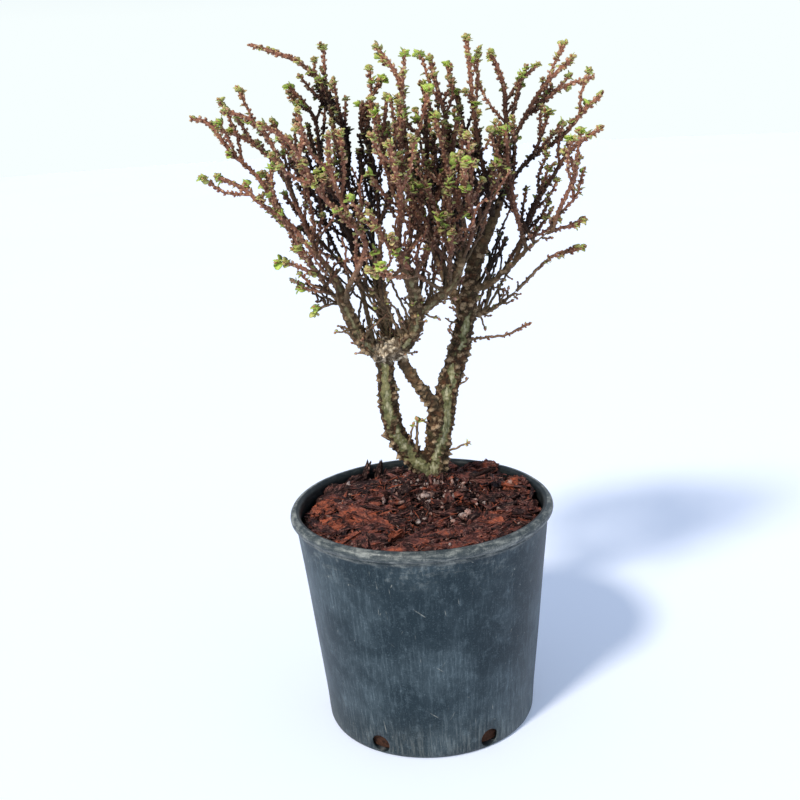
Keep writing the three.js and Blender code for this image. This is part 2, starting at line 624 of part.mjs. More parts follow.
// One bark chip: a slab with skewed corners, thinner and narrower at one end.
function chip(draw, length, width, thickness) {
  const geometry = new THREE.BoxGeometry(length, width, thickness);
  geometry.deleteAttribute('normal');
  geometry.deleteAttribute('uv');
  const merged = mergeVertices(geometry, 1e-4);
  const position = merged.attributes.position;
  for (let i = 0; i < position.count; i++) {
    const taper = position.getX(i) > 0 ? 0.35 + 0.4 * draw() : 0.85 + 0.3 * draw();
    position.setX(i, position.getX(i) * (0.8 + 0.35 * draw()));
    position.setY(i, position.getY(i) * taper);
    position.setZ(i, position.getZ(i) * (0.6 + 0.5 * draw()));
  }
  return merged;
}

function placedChip(draw, index, size) {
  const large = size === 'large';
  const length = large ? 15 + 9 * draw() : 6 + 5 * draw();
  const geometry = chip(draw, length, length * (0.3 + 0.25 * draw()), large ? 3.4 : 2.4);
  const spread = Math.sqrt((index + 0.5) / (large ? LARGE_CHIPS : SMALL_CHIPS));
  const heading = index * GOLDEN_ANGLE + (large ? 0 : 1.1);
  const reach = spread * (boreRadius(SURFACE_EDGE) - 0.62 * length);
  const x = reach * Math.cos(heading);
  const y = reach * Math.sin(heading);
  geometry.rotateX((draw() - 0.5) * (large ? 0.5 : 1));
  geometry.rotateY((draw() - 0.5) * (large ? 0.5 : 1.1));
  geometry.rotateZ(draw() * 2 * Math.PI);
  geometry.translate(x, y, bedHeight(x, y) + (large ? 1 : 0.6));
  const position = geometry.attributes.position;
  for (let i = 0; i < position.count; i++) {
    const floor = bedHeight(position.getX(i), position.getY(i)) - CHIP_SINK;
    position.setZ(i, Math.max(position.getZ(i), floor));
  }
  return solidOf(geometry);
}

function barkMulch() {
  const draw = stream(402);
  const low = SURFACE_EDGE - MULCH_DEPTH + FIT_GAP;
  const mat = mulchBed(low, draw);
  const chips = [
    ...Array.from({ length: LARGE_CHIPS }, (_, i) => placedChip(draw, i, 'large')),
    ...Array.from({ length: SMALL_CHIPS }, (_, i) => placedChip(draw, i, 'small')),
  ];
  return mainBody(joined([mat, ...chips]).subtract(footHole()));
}

const MATERIALS = {
  pot: { color: 0x2f3b3d, roughness: 0.55, metalness: 0 },
  potting_mix: { color: 0x3a2a20, roughness: 1, metalness: 0 },
  bark_mulch: { color: 0x6b3526, roughness: 0.95, metalness: 0 },
  wood: { color: 0x7c7258, roughness: 0.9, metalness: 0 },
  shoot: { color: 0x75503f, roughness: 0.85, metalness: 0 },
};

const bonsai = new THREE.Group();

function show(name, solid, finish) {
  const mesh = new THREE.Mesh(geometryOf(solid), new THREE.MeshStandardMaterial({ ...MATERIALS[finish], flatShading: true }));
  mesh.name = name;
  bonsai.add(mesh);
}

const limbsRoom = joined([...LIMBS.map(limbRoom), ...BURLS.map((lump) => burl(lump, FIT_GAP))]);
show('pot', pot(), 'pot');
show('potting_mix', pottingMix(), 'potting_mix');
show('bark_mulch', barkMulch(), 'bark_mulch');
show(WOOD, trunkAndLimbs(), 'wood');
for (const name of new Set(shoots.map((shoot) => shoot.spray))) show(name, spraySolid(name, limbsRoom), 'shoot');

export default bonsai;
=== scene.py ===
"""A twin-trunk cork bark elm bonsai in a nursery pot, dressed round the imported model.

The growth rule repeats the one in the part's source, so each fine spray stands where its solid does.
Shapes are worked out in millimetres as numpy arrays and turned into metres where a mesh is made.
"""

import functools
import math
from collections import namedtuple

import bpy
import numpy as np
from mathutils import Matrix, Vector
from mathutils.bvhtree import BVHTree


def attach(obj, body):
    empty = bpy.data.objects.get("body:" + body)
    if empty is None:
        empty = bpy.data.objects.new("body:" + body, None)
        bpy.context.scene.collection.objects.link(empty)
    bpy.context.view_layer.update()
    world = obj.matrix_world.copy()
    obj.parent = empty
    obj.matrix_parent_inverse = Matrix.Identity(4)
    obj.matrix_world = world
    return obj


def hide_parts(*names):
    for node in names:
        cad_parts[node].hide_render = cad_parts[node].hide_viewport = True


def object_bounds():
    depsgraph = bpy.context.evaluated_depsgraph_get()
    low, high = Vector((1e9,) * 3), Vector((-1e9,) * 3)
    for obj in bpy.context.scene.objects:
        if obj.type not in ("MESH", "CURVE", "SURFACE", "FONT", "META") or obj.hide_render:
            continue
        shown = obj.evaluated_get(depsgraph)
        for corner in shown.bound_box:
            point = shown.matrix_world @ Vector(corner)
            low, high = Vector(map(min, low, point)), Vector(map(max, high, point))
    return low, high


bl_info = {
    "name": "Cork Bark Elm Bonsai",
    "version": (1, 0, 0),
    "blender": (4, 5, 0),
    "location": "View3D > Sidebar > Bonsai",
    "description": "Builds the pot, mulch, corky wood and leafy sprays of a small elm",
    "category": "Object",
}

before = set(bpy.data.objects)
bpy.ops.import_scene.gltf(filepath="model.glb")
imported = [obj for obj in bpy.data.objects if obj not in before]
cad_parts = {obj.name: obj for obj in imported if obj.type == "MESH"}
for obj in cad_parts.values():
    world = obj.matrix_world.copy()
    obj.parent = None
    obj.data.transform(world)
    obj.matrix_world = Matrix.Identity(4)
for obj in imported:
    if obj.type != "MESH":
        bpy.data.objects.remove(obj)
CAD_BOX = [list(corner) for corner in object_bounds()]

MM = 0.001
BOX_LOW, BOX_HIGH = (np.array(corner) / MM for corner in CAD_BOX)
FULL_TURN = 2 * math.pi
GOLDEN_ANGLE = math.pi * (3 - math.sqrt(5))
WORLD_Y = np.array([0.0, 1.0, 0.0])
WORLD_Z = np.array([0.0, 0.0, 1.0])

# Points that are set against a long list at one time.
BLOCK = 3000

# Pot, in millimetres, as in the part's source.
POT_HEIGHT = 98.0
POT_FOOT_RADIUS = 46.0
POT_NECK_RADIUS = 54.8
POT_WALL = 1.5
POT_FLOOR = 2.0
POT_SIDES = 168
RIM_RADIUS = 57.0
RIM_INNER_RADIUS = 52.6
RIM_DEPTH = 5.2
DRAIN_HOLES = 6
DRAIN_RADIUS = 4.2
DRAIN_LIFT = 4.8

# Mulch
TRUNK_FOOT = np.array([5.5, 20.0])
SURFACE_EDGE = 91.0
MOUND_HEIGHT = 9.0
MOUND_SPREAD = 17.0
BORE = 52.1

# Foot of the trunks
STUMP_TOP = 104
STUMP_DEPTH = 24
STUMP_RADIUS = 6

# Crown, as in the part's source.
INNER_SPRAYS = 30
INNER_RADIUS = 1.1
FORK_RADIUS = 0.95
FORK_SLANT = 0.36
TWIG_RADIUS = 0.7
TWIG_SPACING = 50.0
CROWN_CENTRE = (-1.0, 16.0, 279.0)
CROWN_HALF_WIDTH = 72.0
CROWN_HALF_DEPTH = 58.0
CROWN_DROP = 34.0
SPRAY_CLEARANCE = 0.9
SEATS_PER_LIMB = 12
LOWEST_SEAT = 164.0
USUAL_REACH = 62
TRIES = 14
SEAT_CHOICES = 7

# Small growth. The bud turn is in half turns, so buds follow each other by about the golden angle.
STEM_STEP = 1.15
THICK_STEM = 0.63
BUDS_A_PITCH = 1.8
BUD_TURN = 0.764
BUD_SEAT = 0.72
SPUR_RADII = (0.5, 0.36)
LEAST_FORKED = 22
FORK_SPACING = 17
INNER_TWIGS = 150
FRONT_TWIGS = 160
KNOT_REACH = 14

# Limbs: the name, the radii at the foot and the tip, and the route.
LIMBS = [
    ("left_trunk", (4.3, 2.9), [(5, 20, 101), (2, 20, 107), (-3, 20, 112), (-8, 19, 120), (-11, 18, 130),
        (-12, 17, 142), (-12, 15, 162)]),
    ("right_trunk", (5.3, 1.8), [(7, 20, 100), (8, 21, 110), (11, 21, 125), (15, 23, 142), (20, 24, 156),
        (25, 26, 175), (29, 30, 194), (38, 30, 214), (45, 28, 231)]),
    ("middle_limb", (3.0, 2.2), [(11, 21, 127), (7, 18, 137), (2, 16, 145), (-3, 17, 153), (-6, 19, 161),
        (-7, 22, 168)]),
    ("left_limb", (3.0, 1.5), [(-12, 15, 160), (-18, 12, 164), (-23, 9, 172), (-27, 6, 184), (-29, 5, 192),
        (-33, 4, 202)]),
    ("right_limb", (3.1, 1.6), [(-10, 14, 161), (-3, 10, 166), (2, 6, 175), (2, 1, 187), (0, -3, 196),
        (-4, -8, 208)]),
    ("cross_limb", (2.1, 1.4), [(2, 5, 179), (8, 3, 183), (14, 1, 188), (19, -1, 194), (22, -2, 203),
        (24, -3, 212)]),
    ("centre_limb", (2.6, 1.4), [(-10, 17, 160), (-11, 23, 172), (-12, 30, 184), (-14, 36, 197),
        (-15, 41, 209)]),
    ("back_limb", (2.2, 1.3), [(24, 26, 172), (19, 33, 183), (14, 41, 194), (10, 47, 206)]),
    ("outer_limb", (2.0, 1.2), [(27, 28, 183), (34, 25, 186), (43, 19, 194), (50, 13, 202), (60, 8, 211)]),
    ("low_limb", (1.7, 1.1), [(22, 26, 171), (33, 30, 173), (41, 34, 176), (49, 38, 181)]),
]

# Burls: the centre, the half sizes and the lean in turns about the Y axis.
KNOT_CENTRE = (-9, 14.5, 162.5)
KNOT_HALF_SIZES = (8, 6, 4.6)
BURLS = [
    (KNOT_CENTRE, KNOT_HALF_SIZES, 0.02),
    ((10, 21, 124), (5.9, 5.4, 9), 0.03),
]

# The spray that bears buds but no leaves.
BARE_SPRAY = "spray_lowest_twig"

# How much thinner the wood of a limb is than its solid, in millimetres of radius, as the cork is added to it.
LIMB_TRIM = {"middle_limb": 0.55, "outer_limb": 0.7, "low_limb": 0.55, "cross_limb": 0.2, "back_limb": 0.3}

# Shoots traced from the photograph: for each spray, the radius and the route of its main shoot and its forks.
SHOOTS = {
    "spray_left_low": [
        (1.3, [(-32, 4, 200), (-40, 2, 210), (-47, 0, 220), (-57, -4, 229), (-64, -6, 236), (-73, -8, 241)]),
        (1.1, [(-47, 0, 220), (-54, 3, 231), (-58, 5, 238), (-69, 6, 250), (-76, 8, 260), (-83, 8, 263)]),
        (0.9, [(-51, -1, 225), (-52, -4, 233), (-52, -6, 243)])],
    "spray_left_upper": [
        (1.3, [(-31, 5, 197), (-37, 8, 206), (-43, 12, 222), (-49, 15, 237), (-57, 16, 249), (-70, 16, 257)]),
        (1.0, [(-45, 13, 228), (-48, 8, 240), (-53, 4, 254), (-60, 1, 262), (-69, 0, 265)])],
    "spray_front_left": [
        (1.5, [(-27, 6, 184), (-25, -3, 193), (-19, -15, 205), (-17, -24, 216), (-31, -34, 234),
            (-40, -41, 253), (-50, -45, 261)]),
        (1.1, [(-18, -26, 218), (-24, -32, 231), (-27, -37, 244), (-27, -40, 256)])],
    "spray_left_arch": [
        (1.4, [(-16, 14, 163), (-20, 21, 186), (-24, 25, 211), (-25, 26, 229), (-22, 26, 246), (-26, 24, 264),
            (-38, 20, 281), (-58, 16, 290)]),
        (1.0, [(-24, 25, 211), (-31, 24, 226), (-34, 26, 245), (-35, 27, 258), (-39, 27, 266),
            (-45, 26, 273)]),
        (0.8, [(-31, 24, 226), (-43, 25, 238), (-44, 26, 252), (-42, 25, 266)])],
    "spray_front_centre": [
        (1.5, [(-4, -7, 206), (-3, -17, 218), (-2, -29, 232), (-4, -38, 244), (-5, -43, 252)]),
        (1.3, [(-4, -11, 211), (-2, -8, 224), (-1, -5, 240), (0, -5, 257), (0, -6, 273), (-8, -6, 286)]),
        (1.0, [(-2, -8, 224), (-6, 2, 236), (-7, 5, 250), (-5, 4, 267)])],
    "spray_centre": [
        (1.2, [(-11, 23, 172), (-12, 20, 190), (-11, 21, 214), (-12, 21, 240), (-16, 20, 255), (-14, 18, 263),
            (-6, 15, 274)]),
        (0.9, [(-11, 21, 214), (-6, 16, 229), (-1, 13, 243), (1, 12, 256)])],
    "spray_centre_slim": [
        (1.1, [(3, 3, 184), (7, 6, 200), (11, 8, 219), (10, 6, 241), (10, 4, 265)])],
    "spray_cross": [
        (1.2, [(24, -3, 211), (22, 0, 224), (19, 3, 241), (18, 6, 257), (15, 9, 271), (13, 10, 281)]),
        (1.0, [(23, -2, 217), (19, -7, 230), (16, -10, 244), (13, -12, 259)])],
    "spray_cross_front": [
        (1.1, [(22, -2, 202), (25, -12, 212), (25, -22, 223), (22, -29, 235), (23, -33, 243)])],
    "spray_top_right": [
        (1.1, [(34, 30, 205), (31, 22, 220), (29, 18, 236), (26, 17, 252), (23, 17, 266), (20, 17, 278)])],
    "spray_tallest": [
        (1.3, [(38, 30, 214), (36, 20, 222), (34, 11, 231), (31, 6, 245), (29, 4, 262), (28, 3, 277),
            (27, 2, 288)])],
    "spray_right_head": [
        (1.6, [(45, 28, 230), (45, 27, 242), (44, 25, 256), (43, 22, 269), (38, 19, 282)]),
        (0.9, [(44, 24, 262), (50, 22, 270), (57, 20, 276)]),
        (1.2, [(45, 26, 244), (50, 25, 252), (54, 24, 259), (61, 21, 269), (71, 18, 278)]),
        (1.0, [(51, 25, 254), (61, 28, 263), (70, 30, 267), (82, 31, 270)])],
    "spray_right_wing": [
        (1.2, [(42, 29, 224), (48, 23, 233), (55, 21, 240), (66, 18, 247), (75, 16, 257), (82, 15, 263)]),
        (0.9, [(48, 23, 233), (55, 15, 243), (60, 12, 257)])],
    "spray_right_mid": [
        (1.2, [(45, 17, 196), (49, 18, 206), (52, 15, 217), (60, 12, 230), (69, 12, 242), (81, 12, 250)]),
        (0.8, [(56, 13, 224), (55, 8, 233), (58, 4, 241)])],
    "spray_right_low": [
        (1.1, [(60, 8, 210), (63, 4, 220), (67, 1, 229), (68, -1, 236), (64, -2, 242)]),
        (0.8, [(62, 6, 216), (70, 8, 224), (73, 7, 234)])],
    "spray_right_tip": [
        (0.9, [(58, 9, 209), (66, 11, 211), (74, 12, 213)])],
    "spray_low_whip": [
        (1.0, [(48, 38, 180), (57, 40, 188), (65, 42, 194), (76, 43, 197)])],
    "spray_lowest_twig": [
        (0.8, [(22, 24, 162), (32, 20, 164), (40, 17, 165), (50, 14, 170)])],
    "spray_left_stub": [
        (0.9, [(-27, 6, 187), (-35, 2, 191), (-45, -2, 194)])],
    "spray_left_spur": [
        (0.7, [(-27, 6, 185), (-35, 10, 184), (-41, 13, 180)])],
    "spray_left_flag": [
        (1.0, [(-29, 5, 193), (-38, -3, 200), (-49, -9, 206)])],
}


# Growth rule

def unit(vectors):
    """Vectors along the last axis, each divided by its length."""
    vectors = np.asarray(vectors, float)
    return vectors / np.maximum(np.linalg.norm(vectors, axis=-1, keepdims=True), 1e-12)


def stream(seed):
    """A repeatable stream of numbers from 0 to 1, the same as in the part's source."""
    state = seed

    def draw():
        nonlocal state
        state = (state * 1664525 + 1013904223) % 2 ** 32
        return state / 2 ** 32

    return draw


class Curve:
    """A Catmull-Rom curve through given points: each stretch is a cubic whose slopes are half the chords."""

    def __init__(self, points):
        self.points = np.array(points, float)

    def at(self, t):
        """Points at t from 0 to 1, where each stretch takes an equal share of t."""
        p = self.points
        spread = np.vstack([2 * p[0] - p[1], p, 2 * p[-1] - p[-2]])
        along = np.clip(np.atleast_1d(np.asarray(t, float)), 0, 1) * (len(p) - 1)
        first = np.minimum(along.astype(int), len(p) - 2)
        w = (along - first)[:, None]
        a, b, c, d = (spread[first + k] for k in range(4))
        start, end = 0.5 * (c - a), 0.5 * (d - b)
        square, cube = -3 * b + 3 * c - 2 * start - end, 2 * b - 2 * c + start + end
        return b + start * w + square * w ** 2 + cube * w ** 3

    def tangent(self, t):
        """Unit directions at t, from two points a ten-thousandth of the curve to either side."""
        return unit(self.at(np.minimum(t + 1e-4, 1)) - self.at(np.maximum(t - 1e-4, 0)))

    def length(self):
        """The length of 200 chords."""
        return float(np.linalg.norm(np.diff(self.at(np.linspace(0, 1, 201)), axis=0), axis=1).sum())

    def sample(self, steps):
        """Points at equal steps of t."""
        return self.at(np.arange(steps + 1) / steps)

    def even(self, step):
        """Points about one step apart in millimetres, with their distance from the start."""
        fine = self.at(np.linspace(0, 1, 241))
        run = np.concatenate([[0], np.cumsum(np.linalg.norm(np.diff(fine, axis=0), axis=1))])
        count = max(3, int(round(run[-1] / step)) + 1)
        marks = np.linspace(0, run[-1], count)
        return np.stack([np.interp(marks, run, fine[:, k]) for k in range(3)], axis=1), marks


def square_to(tangent):
    """Two directions square to a stem: one level and to the side, and one to its back."""
    side = unit(np.cross(WORLD_Y, tangent))
    return side, np.cross(tangent, side)


def swung(first, second, turn):
    """The direction at an angle from the first towards the second: first cos(turn) + second sin(turn)."""
    return first * np.cos(turn) + second * np.sin(turn)


def rod_distance(a, b, starts, ends):
    """Shortest distances from the segment a-b to many segments."""
    u, v, w = b - a, ends - starts, a - starts
    uu, uv, vv = u @ u, v @ u, (v * v).sum(1)
    uw, vw = w @ u, (v * w).sum(1)
    area = uu * vv - uv * uv
    free = np.where(area > 1e-9, np.clip((uv * vw - vv * uw) / np.where(area > 1e-9, area, 1), 0, 1), 0)
    t = np.clip((uv * free + vw) / vv, 0, 1)
    s = np.clip((uv * t - uw) / uu, 0, 1)
    return np.linalg.norm(w + u * s[:, None] - v * t[:, None], axis=1)


class Shoot:
    """One shoot: the spray that it belongs to, its radius at the foot, and its curve."""

    def __init__(self, spray, radius, points, twig=False):
        self.spray, self.radius, self.twig = spray, radius, twig
        self.curve = Curve(points)


class Tree:
    """The skeleton: limbs and traced shoots, then inner sprays and side twigs grown clear of each other."""

    WOOD = 0
    NO_ONE = -1

    def __init__(self):
        self.names = ["trunk_and_limbs"]
        self.starts, self.ends = np.zeros((0, 3)), np.zeros((0, 3))
        self.radii, self.owners = np.zeros(0), np.zeros(0, int)
        self.shoots = []
        self.limbs = [(name, radii, Curve(route)) for name, radii, route in LIMBS]
        for _, radii, curve in self.limbs:
            self.take(curve.sample(12), sum(radii) / 2, self.WOOD)
        for spray, rows in SHOOTS.items():
            for radius, route in rows:
                self.add(Shoot(spray, radius, route), 10)
        self.grow_inner_sprays()
        self.grow_twigs()

    def owner(self, spray):
        """The number of a spray, which gets one when it is first named."""
        if spray not in self.names:
            self.names.append(spray)
        return self.names.index(spray)

    def add(self, shoot, steps):
        """Keeps a shoot and takes the room along it."""
        self.shoots.append(shoot)
        self.take(shoot.curve.sample(steps), shoot.radius, self.owner(shoot.spray))

    def take(self, path, radius, owner):
        """Marks the room along a path as taken."""
        self.starts = np.vstack([self.starts, path[:-1]])
        self.ends = np.vstack([self.ends, path[1:]])
        self.radii = np.append(self.radii, np.full(len(path) - 1, radius))
        self.owners = np.append(self.owners, np.full(len(path) - 1, owner))

    def is_clear(self, path, radius, owner, wood_from=0):
        """A path may touch the wood only before its segment wood_from, where it leaves its limb."""
        for i in range(len(path) - 1):
            others = self.owners != owner
            if i < wood_from:
                others &= self.owners != self.WOOD
            room = radius + self.radii[others] + SPRAY_CLEARANCE
            if np.any(rod_distance(path[i], path[i + 1], self.starts[others], self.ends[others]) < room):
                return False
        return True

    def claim(self, route, room, radius):
        """Takes the room along a route that belongs to no spray, if all but its first stretch is clear."""
        if not self.is_clear(route[1:], room, self.NO_ONE):
            return []
        self.take(route, radius, self.NO_ONE)
        return [Curve(route)]

    def bowed(self, start, end, bow):
        """Four points from start to end, bowed outwards from the start by a sine."""
        out = (end - start) * (1, 1, 0)
        reach = np.linalg.norm(end - start)
        t = np.array([0, 0.33, 0.67, 1])[:, None]
        lift = np.sin(np.pi * t) * reach * bow
        path = start + (end - start) * t + unit(out) * lift
        path[:, 2] = (start[2] + (end[2] - start[2]) * t - 0.3 * lift)[:, 0]
        return path

    def painted_crown_shade(self, points):
        """Painted shade at each point, from 0 to 1, by how closely the wood stands round it: the sum of a
        bell over all segments.

        A segment counts by its length. The painted shade is weaker at the open foot of the crown and at its
        front, which faces the light.
        """
        bell_width, open_foot, lit_front = 9.0, (172, 198), (-8, 12)
        middles = (self.starts + self.ends) / 2
        weights = np.linalg.norm(self.ends - self.starts, axis=1) / 10
        total = np.zeros(len(points))
        for first in range(0, len(points), BLOCK):
            block = points[first:first + BLOCK]
            square = ((block[:, None] - middles[None]) ** 2).sum(axis=2)
            total[first:first + BLOCK] = (np.exp(-square / (2 * bell_width ** 2)) * weights).sum(axis=1)
        # Painted shade: less at the foot of the crown and at the front, where the light falls.
        closed = (0.4 + 0.6 * ease(*open_foot, points[:, 2])) * (0.6 + 0.4 * ease(*lit_front, points[:, 1]))
        return ease(3.0, 18.0, total) * closed

    def grow_inner_sprays(self):
        """Tips lie on a golden-angle spiral under a dome. Each shoot takes the first clear seat and turn."""
        draw = stream(71)
        seats = [p for _, _, curve in self.limbs for p in curve.sample(SEATS_PER_LIMB) if p[2] > LOWEST_SEAT]
        placed = 0
        for i in range(INNER_SPRAYS):
            spray = f"spray_inner_{placed + 1:02d}"
            drop = draw() * 26
            bow = 0.03 + draw() * 0.07
            spread = math.sqrt((i + 0.6) / INNER_SPRAYS)
            for attempt in range(TRIES * SEAT_CHOICES):
                turn = attempt // SEAT_CHOICES
                swing = math.ceil(turn / 2) * 0.16
                heading = i * GOLDEN_ANGLE + (swing if turn % 2 else -swing)
                tip = np.array([
                    CROWN_CENTRE[0] + CROWN_HALF_WIDTH * spread * math.cos(heading),
                    CROWN_CENTRE[1] + CROWN_HALF_DEPTH * spread * math.sin(heading),
                    CROWN_CENTRE[2] - CROWN_DROP * spread * spread - drop])

                def cost(number):
                    reach = np.linalg.norm(tip - seats[number])
                    flat = tip[2] - seats[number][2] < 0.6 * reach
                    return reach + (60 if flat else 0) + 0.4 * abs(reach - USUAL_REACH)

                chosen = sorted(range(len(seats)), key=cost)[attempt % SEAT_CHOICES]
                shoot = Shoot(spray, INNER_RADIUS, self.bowed(seats[chosen], tip, bow))
                path = shoot.curve.sample(10)
                if self.is_clear(path, INNER_RADIUS, self.owner(spray), 2):
                    seats.pop(chosen)
                    self.add(shoot, 10)
                    self.grow_fork(spray, path, draw)
                    placed += 1
                    break

    def grow_fork(self, spray, path, draw):
        """One fork leaves a shoot at a slant and is turned by the golden angle until it is clear."""
        at, out = 3, math.sin(FORK_SLANT)
        share = 0.62 + 0.25 * draw()
        start = path[at]
        along = unit(path[at + 1] - start)
        reach = np.linalg.norm(start - path[-1]) * share
        side, face = square_to(along)
        turn = draw() * FULL_TURN
        for attempt in range(TRIES):
            heading = turn + attempt * GOLDEN_ANGLE
            tip = (start + along * reach * math.cos(FORK_SLANT) + side * reach * out * math.cos(heading)
                   + face * reach * out * math.sin(heading))
            fork = Shoot(spray, FORK_RADIUS, self.bowed(start, tip, 0.08))
            if self.is_clear(fork.curve.sample(8), FORK_RADIUS, self.owner(spray)):
                self.add(fork, 8)
                return

    def grow_twigs(self):
        """Short side twigs on the outer part of each traced shoot."""
        draw = stream(15)
        parents = [shoot for shoot in self.shoots if not shoot.spray.startswith("spray_inner")]
        for index, shoot in enumerate(parents):
            count = int(shoot.curve.length() * 0.7 / TWIG_SPACING)
            for k in range(count):
                t = 0.36 + 0.6 * (k + 0.5) / count
                reach = 5 + 6 * draw()
                start, along = shoot.curve.at(t)[0], shoot.curve.tangent(t)[0]
                side, face = square_to(along)
                for attempt in range(5):
                    heading = (index + k + attempt) * GOLDEN_ANGLE
                    tip = (start + along * reach * 0.72 + side * reach * 0.6 * math.cos(heading)
                           + face * reach * 0.6 * math.sin(heading))
                    tip[2] += 0.15 * reach
                    if self.is_clear(np.array([start, tip]), TWIG_RADIUS, self.owner(shoot.spray)):
                        middle = (start + tip) / 2 + along * 0.1 * reach
                        self.shoots.append(Shoot(shoot.spray, TWIG_RADIUS, [start, middle, tip], twig=True))
                        self.take(np.array([start, tip]), TWIG_RADIUS, self.owner(shoot.spray))
                        break


# Mesh tools

class Shape:
    """Vertices in millimetres, faces with the number of their finish, and named values on each vertex."""

    def __init__(self, vertices, faces, finish=0, **values):
        self.vertices = np.asarray(vertices, float).reshape(-1, 3)
        self.faces = [(np.asarray(face, int), finish) for face in faces]
        self.values = {name: np.asarray(value, float) for name, value in values.items()}


def joined(shapes):
    """Many shapes as one. A value that a shape lacks is 0 there."""
    out = Shape(np.concatenate([shape.vertices for shape in shapes]), [])
    offset = 0
    for shape in shapes:
        out.faces += [(face + offset, finish) for face, finish in shape.faces]
        offset += len(shape.vertices)
    for name in {name: None for shape in shapes for name in shape.values}:
        parts = [shape.values.get(name, np.zeros(len(shape.vertices))) for shape in shapes]
        out.values[name] = np.concatenate(parts)
    return out


def closed_faces(rows, sides):
    """Quads between rings of vertices, and triangles to a pole before the first ring and after the last."""
    i, j = np.meshgrid(np.arange(rows - 1), np.arange(sides), indexing="ij")
    k = (j + 1) % sides
    quads = np.stack([i * sides + j, i * sides + k, (i + 1) * sides + k, (i + 1) * sides + j], axis=-1)
    first = np.arange(sides)
    following = (first + 1) % sides
    pole = rows * sides
    top = pole - sides
    return [quads.reshape(-1, 4), np.stack([np.full(sides, pole), following, first], axis=1),
            np.stack([np.full(sides, pole + 1), top + first, top + following], axis=1)]


def tube(path, radii, sides, finish=0, **values):
    """Rings carried along a path: centre + radius (side cos a + face sin a), with a fan at each end."""
    path = np.asarray(path, float)
    side, face = square_to(unit(np.gradient(path, axis=0)))
    angle = np.arange(sides) * FULL_TURN / sides
    radii = np.broadcast_to(np.asarray(radii, float).reshape(-1, 1), (len(path), sides))
    turn = np.cos(angle)[None, :, None] * side[:, None, :] + np.sin(angle)[None, :, None] * face[:, None, :]
    rings = path[:, None, :] + radii[:, :, None] * turn
    vertices = np.vstack([rings.reshape(-1, 3), path[:1], path[-1:]])
    spread = {name: np.concatenate([np.repeat(value, sides), value[:1], value[-1:]])
              for name, value in values.items()}
    return Shape(vertices, closed_faces(len(path), sides), finish, **spread)


def turned(profile, sides):
    """A profile of (radius, height) pairs from axis to axis, turned about the Z axis."""
    profile = np.asarray(profile, float)
    inner = profile[1:-1]
    angle = np.arange(sides) * FULL_TURN / sides
    circle = np.stack([np.cos(angle), np.sin(angle), np.zeros(sides)], axis=1)
    rings = inner[:, 0][:, None, None] * circle[None] + inner[:, 1][:, None, None] * WORLD_Z
    vertices = np.vstack([rings.reshape(-1, 3), [[0, 0, profile[0, 1]], [0, 0, profile[-1, 1]]]])
    return Shape(vertices, closed_faces(len(inner), sides))


def frames_towards(directions, roll):
    """Square frames whose third axis is the given direction, turned about it by roll."""
    directions = unit(directions)
    lean = np.abs(directions[:, 2:3]) < 0.9
    helper = np.where(lean, WORLD_Z, np.array([1.0, 0.0, 0.0]))
    side = unit(np.cross(helper, directions))
    face = np.cross(directions, side)
    c, s = np.cos(roll)[:, None], np.sin(roll)[:, None]
    return np.stack([c * side + s * face, c * face - s * side, directions], axis=1)


def copied(local, faces, centres, frames, finish=0, **values):
    """Copies of a shape, each with local vertices of its own: centre + frame (vertex).

    The faces are those of one copy. A value is given once for each copy or once for each vertex.
    """
    count, size = local.shape[:2]
    vertices = centres[:, None, :] + np.einsum("nkj,nji->nki", local, frames)
    shift = (np.arange(count) * size)[:, None, None]
    faces = [(face[None] + shift).reshape(-1, face.shape[1]) for face in faces]
    for name, value in values.items():
        values[name] = np.repeat(value, size) if len(value) == count else value
    return Shape(vertices.reshape(-1, 3), faces, finish, **values)


def linked(name, data):
    """A new object of the scene that holds the data."""
    thing = bpy.data.objects.new(name, data)
    bpy.context.scene.collection.objects.link(thing)
    return thing


def make_piece(name, shape, finishes, node_names=(), smooth=True):
    """Puts a shape into a mesh in metres, and seats it in the frame."""
    mesh = bpy.data.meshes.new(name)
    mesh.vertices.add(len(shape.vertices))
    mesh.vertices.foreach_set("co", (shape.vertices * MM).ravel())
    corners = np.concatenate([face.ravel() for face, _ in shape.faces])
    sizes = np.concatenate([np.full(len(face), face.shape[1]) for face, _ in shape.faces])
    numbers = np.concatenate([np.full(len(face), finish) for face, finish in shape.faces])
    for finish in finishes:
        mesh.materials.append(finish.material)
    mesh.loops.add(len(corners))
    mesh.loops.foreach_set("vertex_index", corners)
    mesh.polygons.add(len(sizes))
    mesh.polygons.foreach_set("loop_start", np.concatenate([[0], np.cumsum(sizes)[:-1]]))
    mesh.polygons.foreach_set("material_index", numbers)
    mesh.polygons.foreach_set("use_smooth", np.full(len(sizes), smooth))
    store_values(mesh, shape.values)
    mesh.update(calc_edges=True)
    piece = linked(name, mesh)
    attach(piece, "root")
    if node_names:
        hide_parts(*node_names)
    return piece


def store_values(mesh, values):
    """Puts named values, one number or one vector for each vertex, into a mesh."""
    for name, value in values.items():
        flat = value.ndim == 1
        layer = mesh.attributes.new(name, "FLOAT" if flat else "FLOAT_VECTOR", "POINT")
        layer.data.foreach_set("value" if flat else "vector", np.ascontiguousarray(value, np.float32).ravel())


def applied(piece):
    """The mesh of a piece once its modifiers are applied."""
    graph = bpy.context.evaluated_depsgraph_get()
    mesh = bpy.data.meshes.new_from_object(piece.evaluated_get(graph))
    piece.modifiers.clear()
    old = piece.data
    piece.data = mesh
    bpy.data.meshes.remove(old)
    mesh.name = piece.name
    return mesh


# Noise worked out on arrays

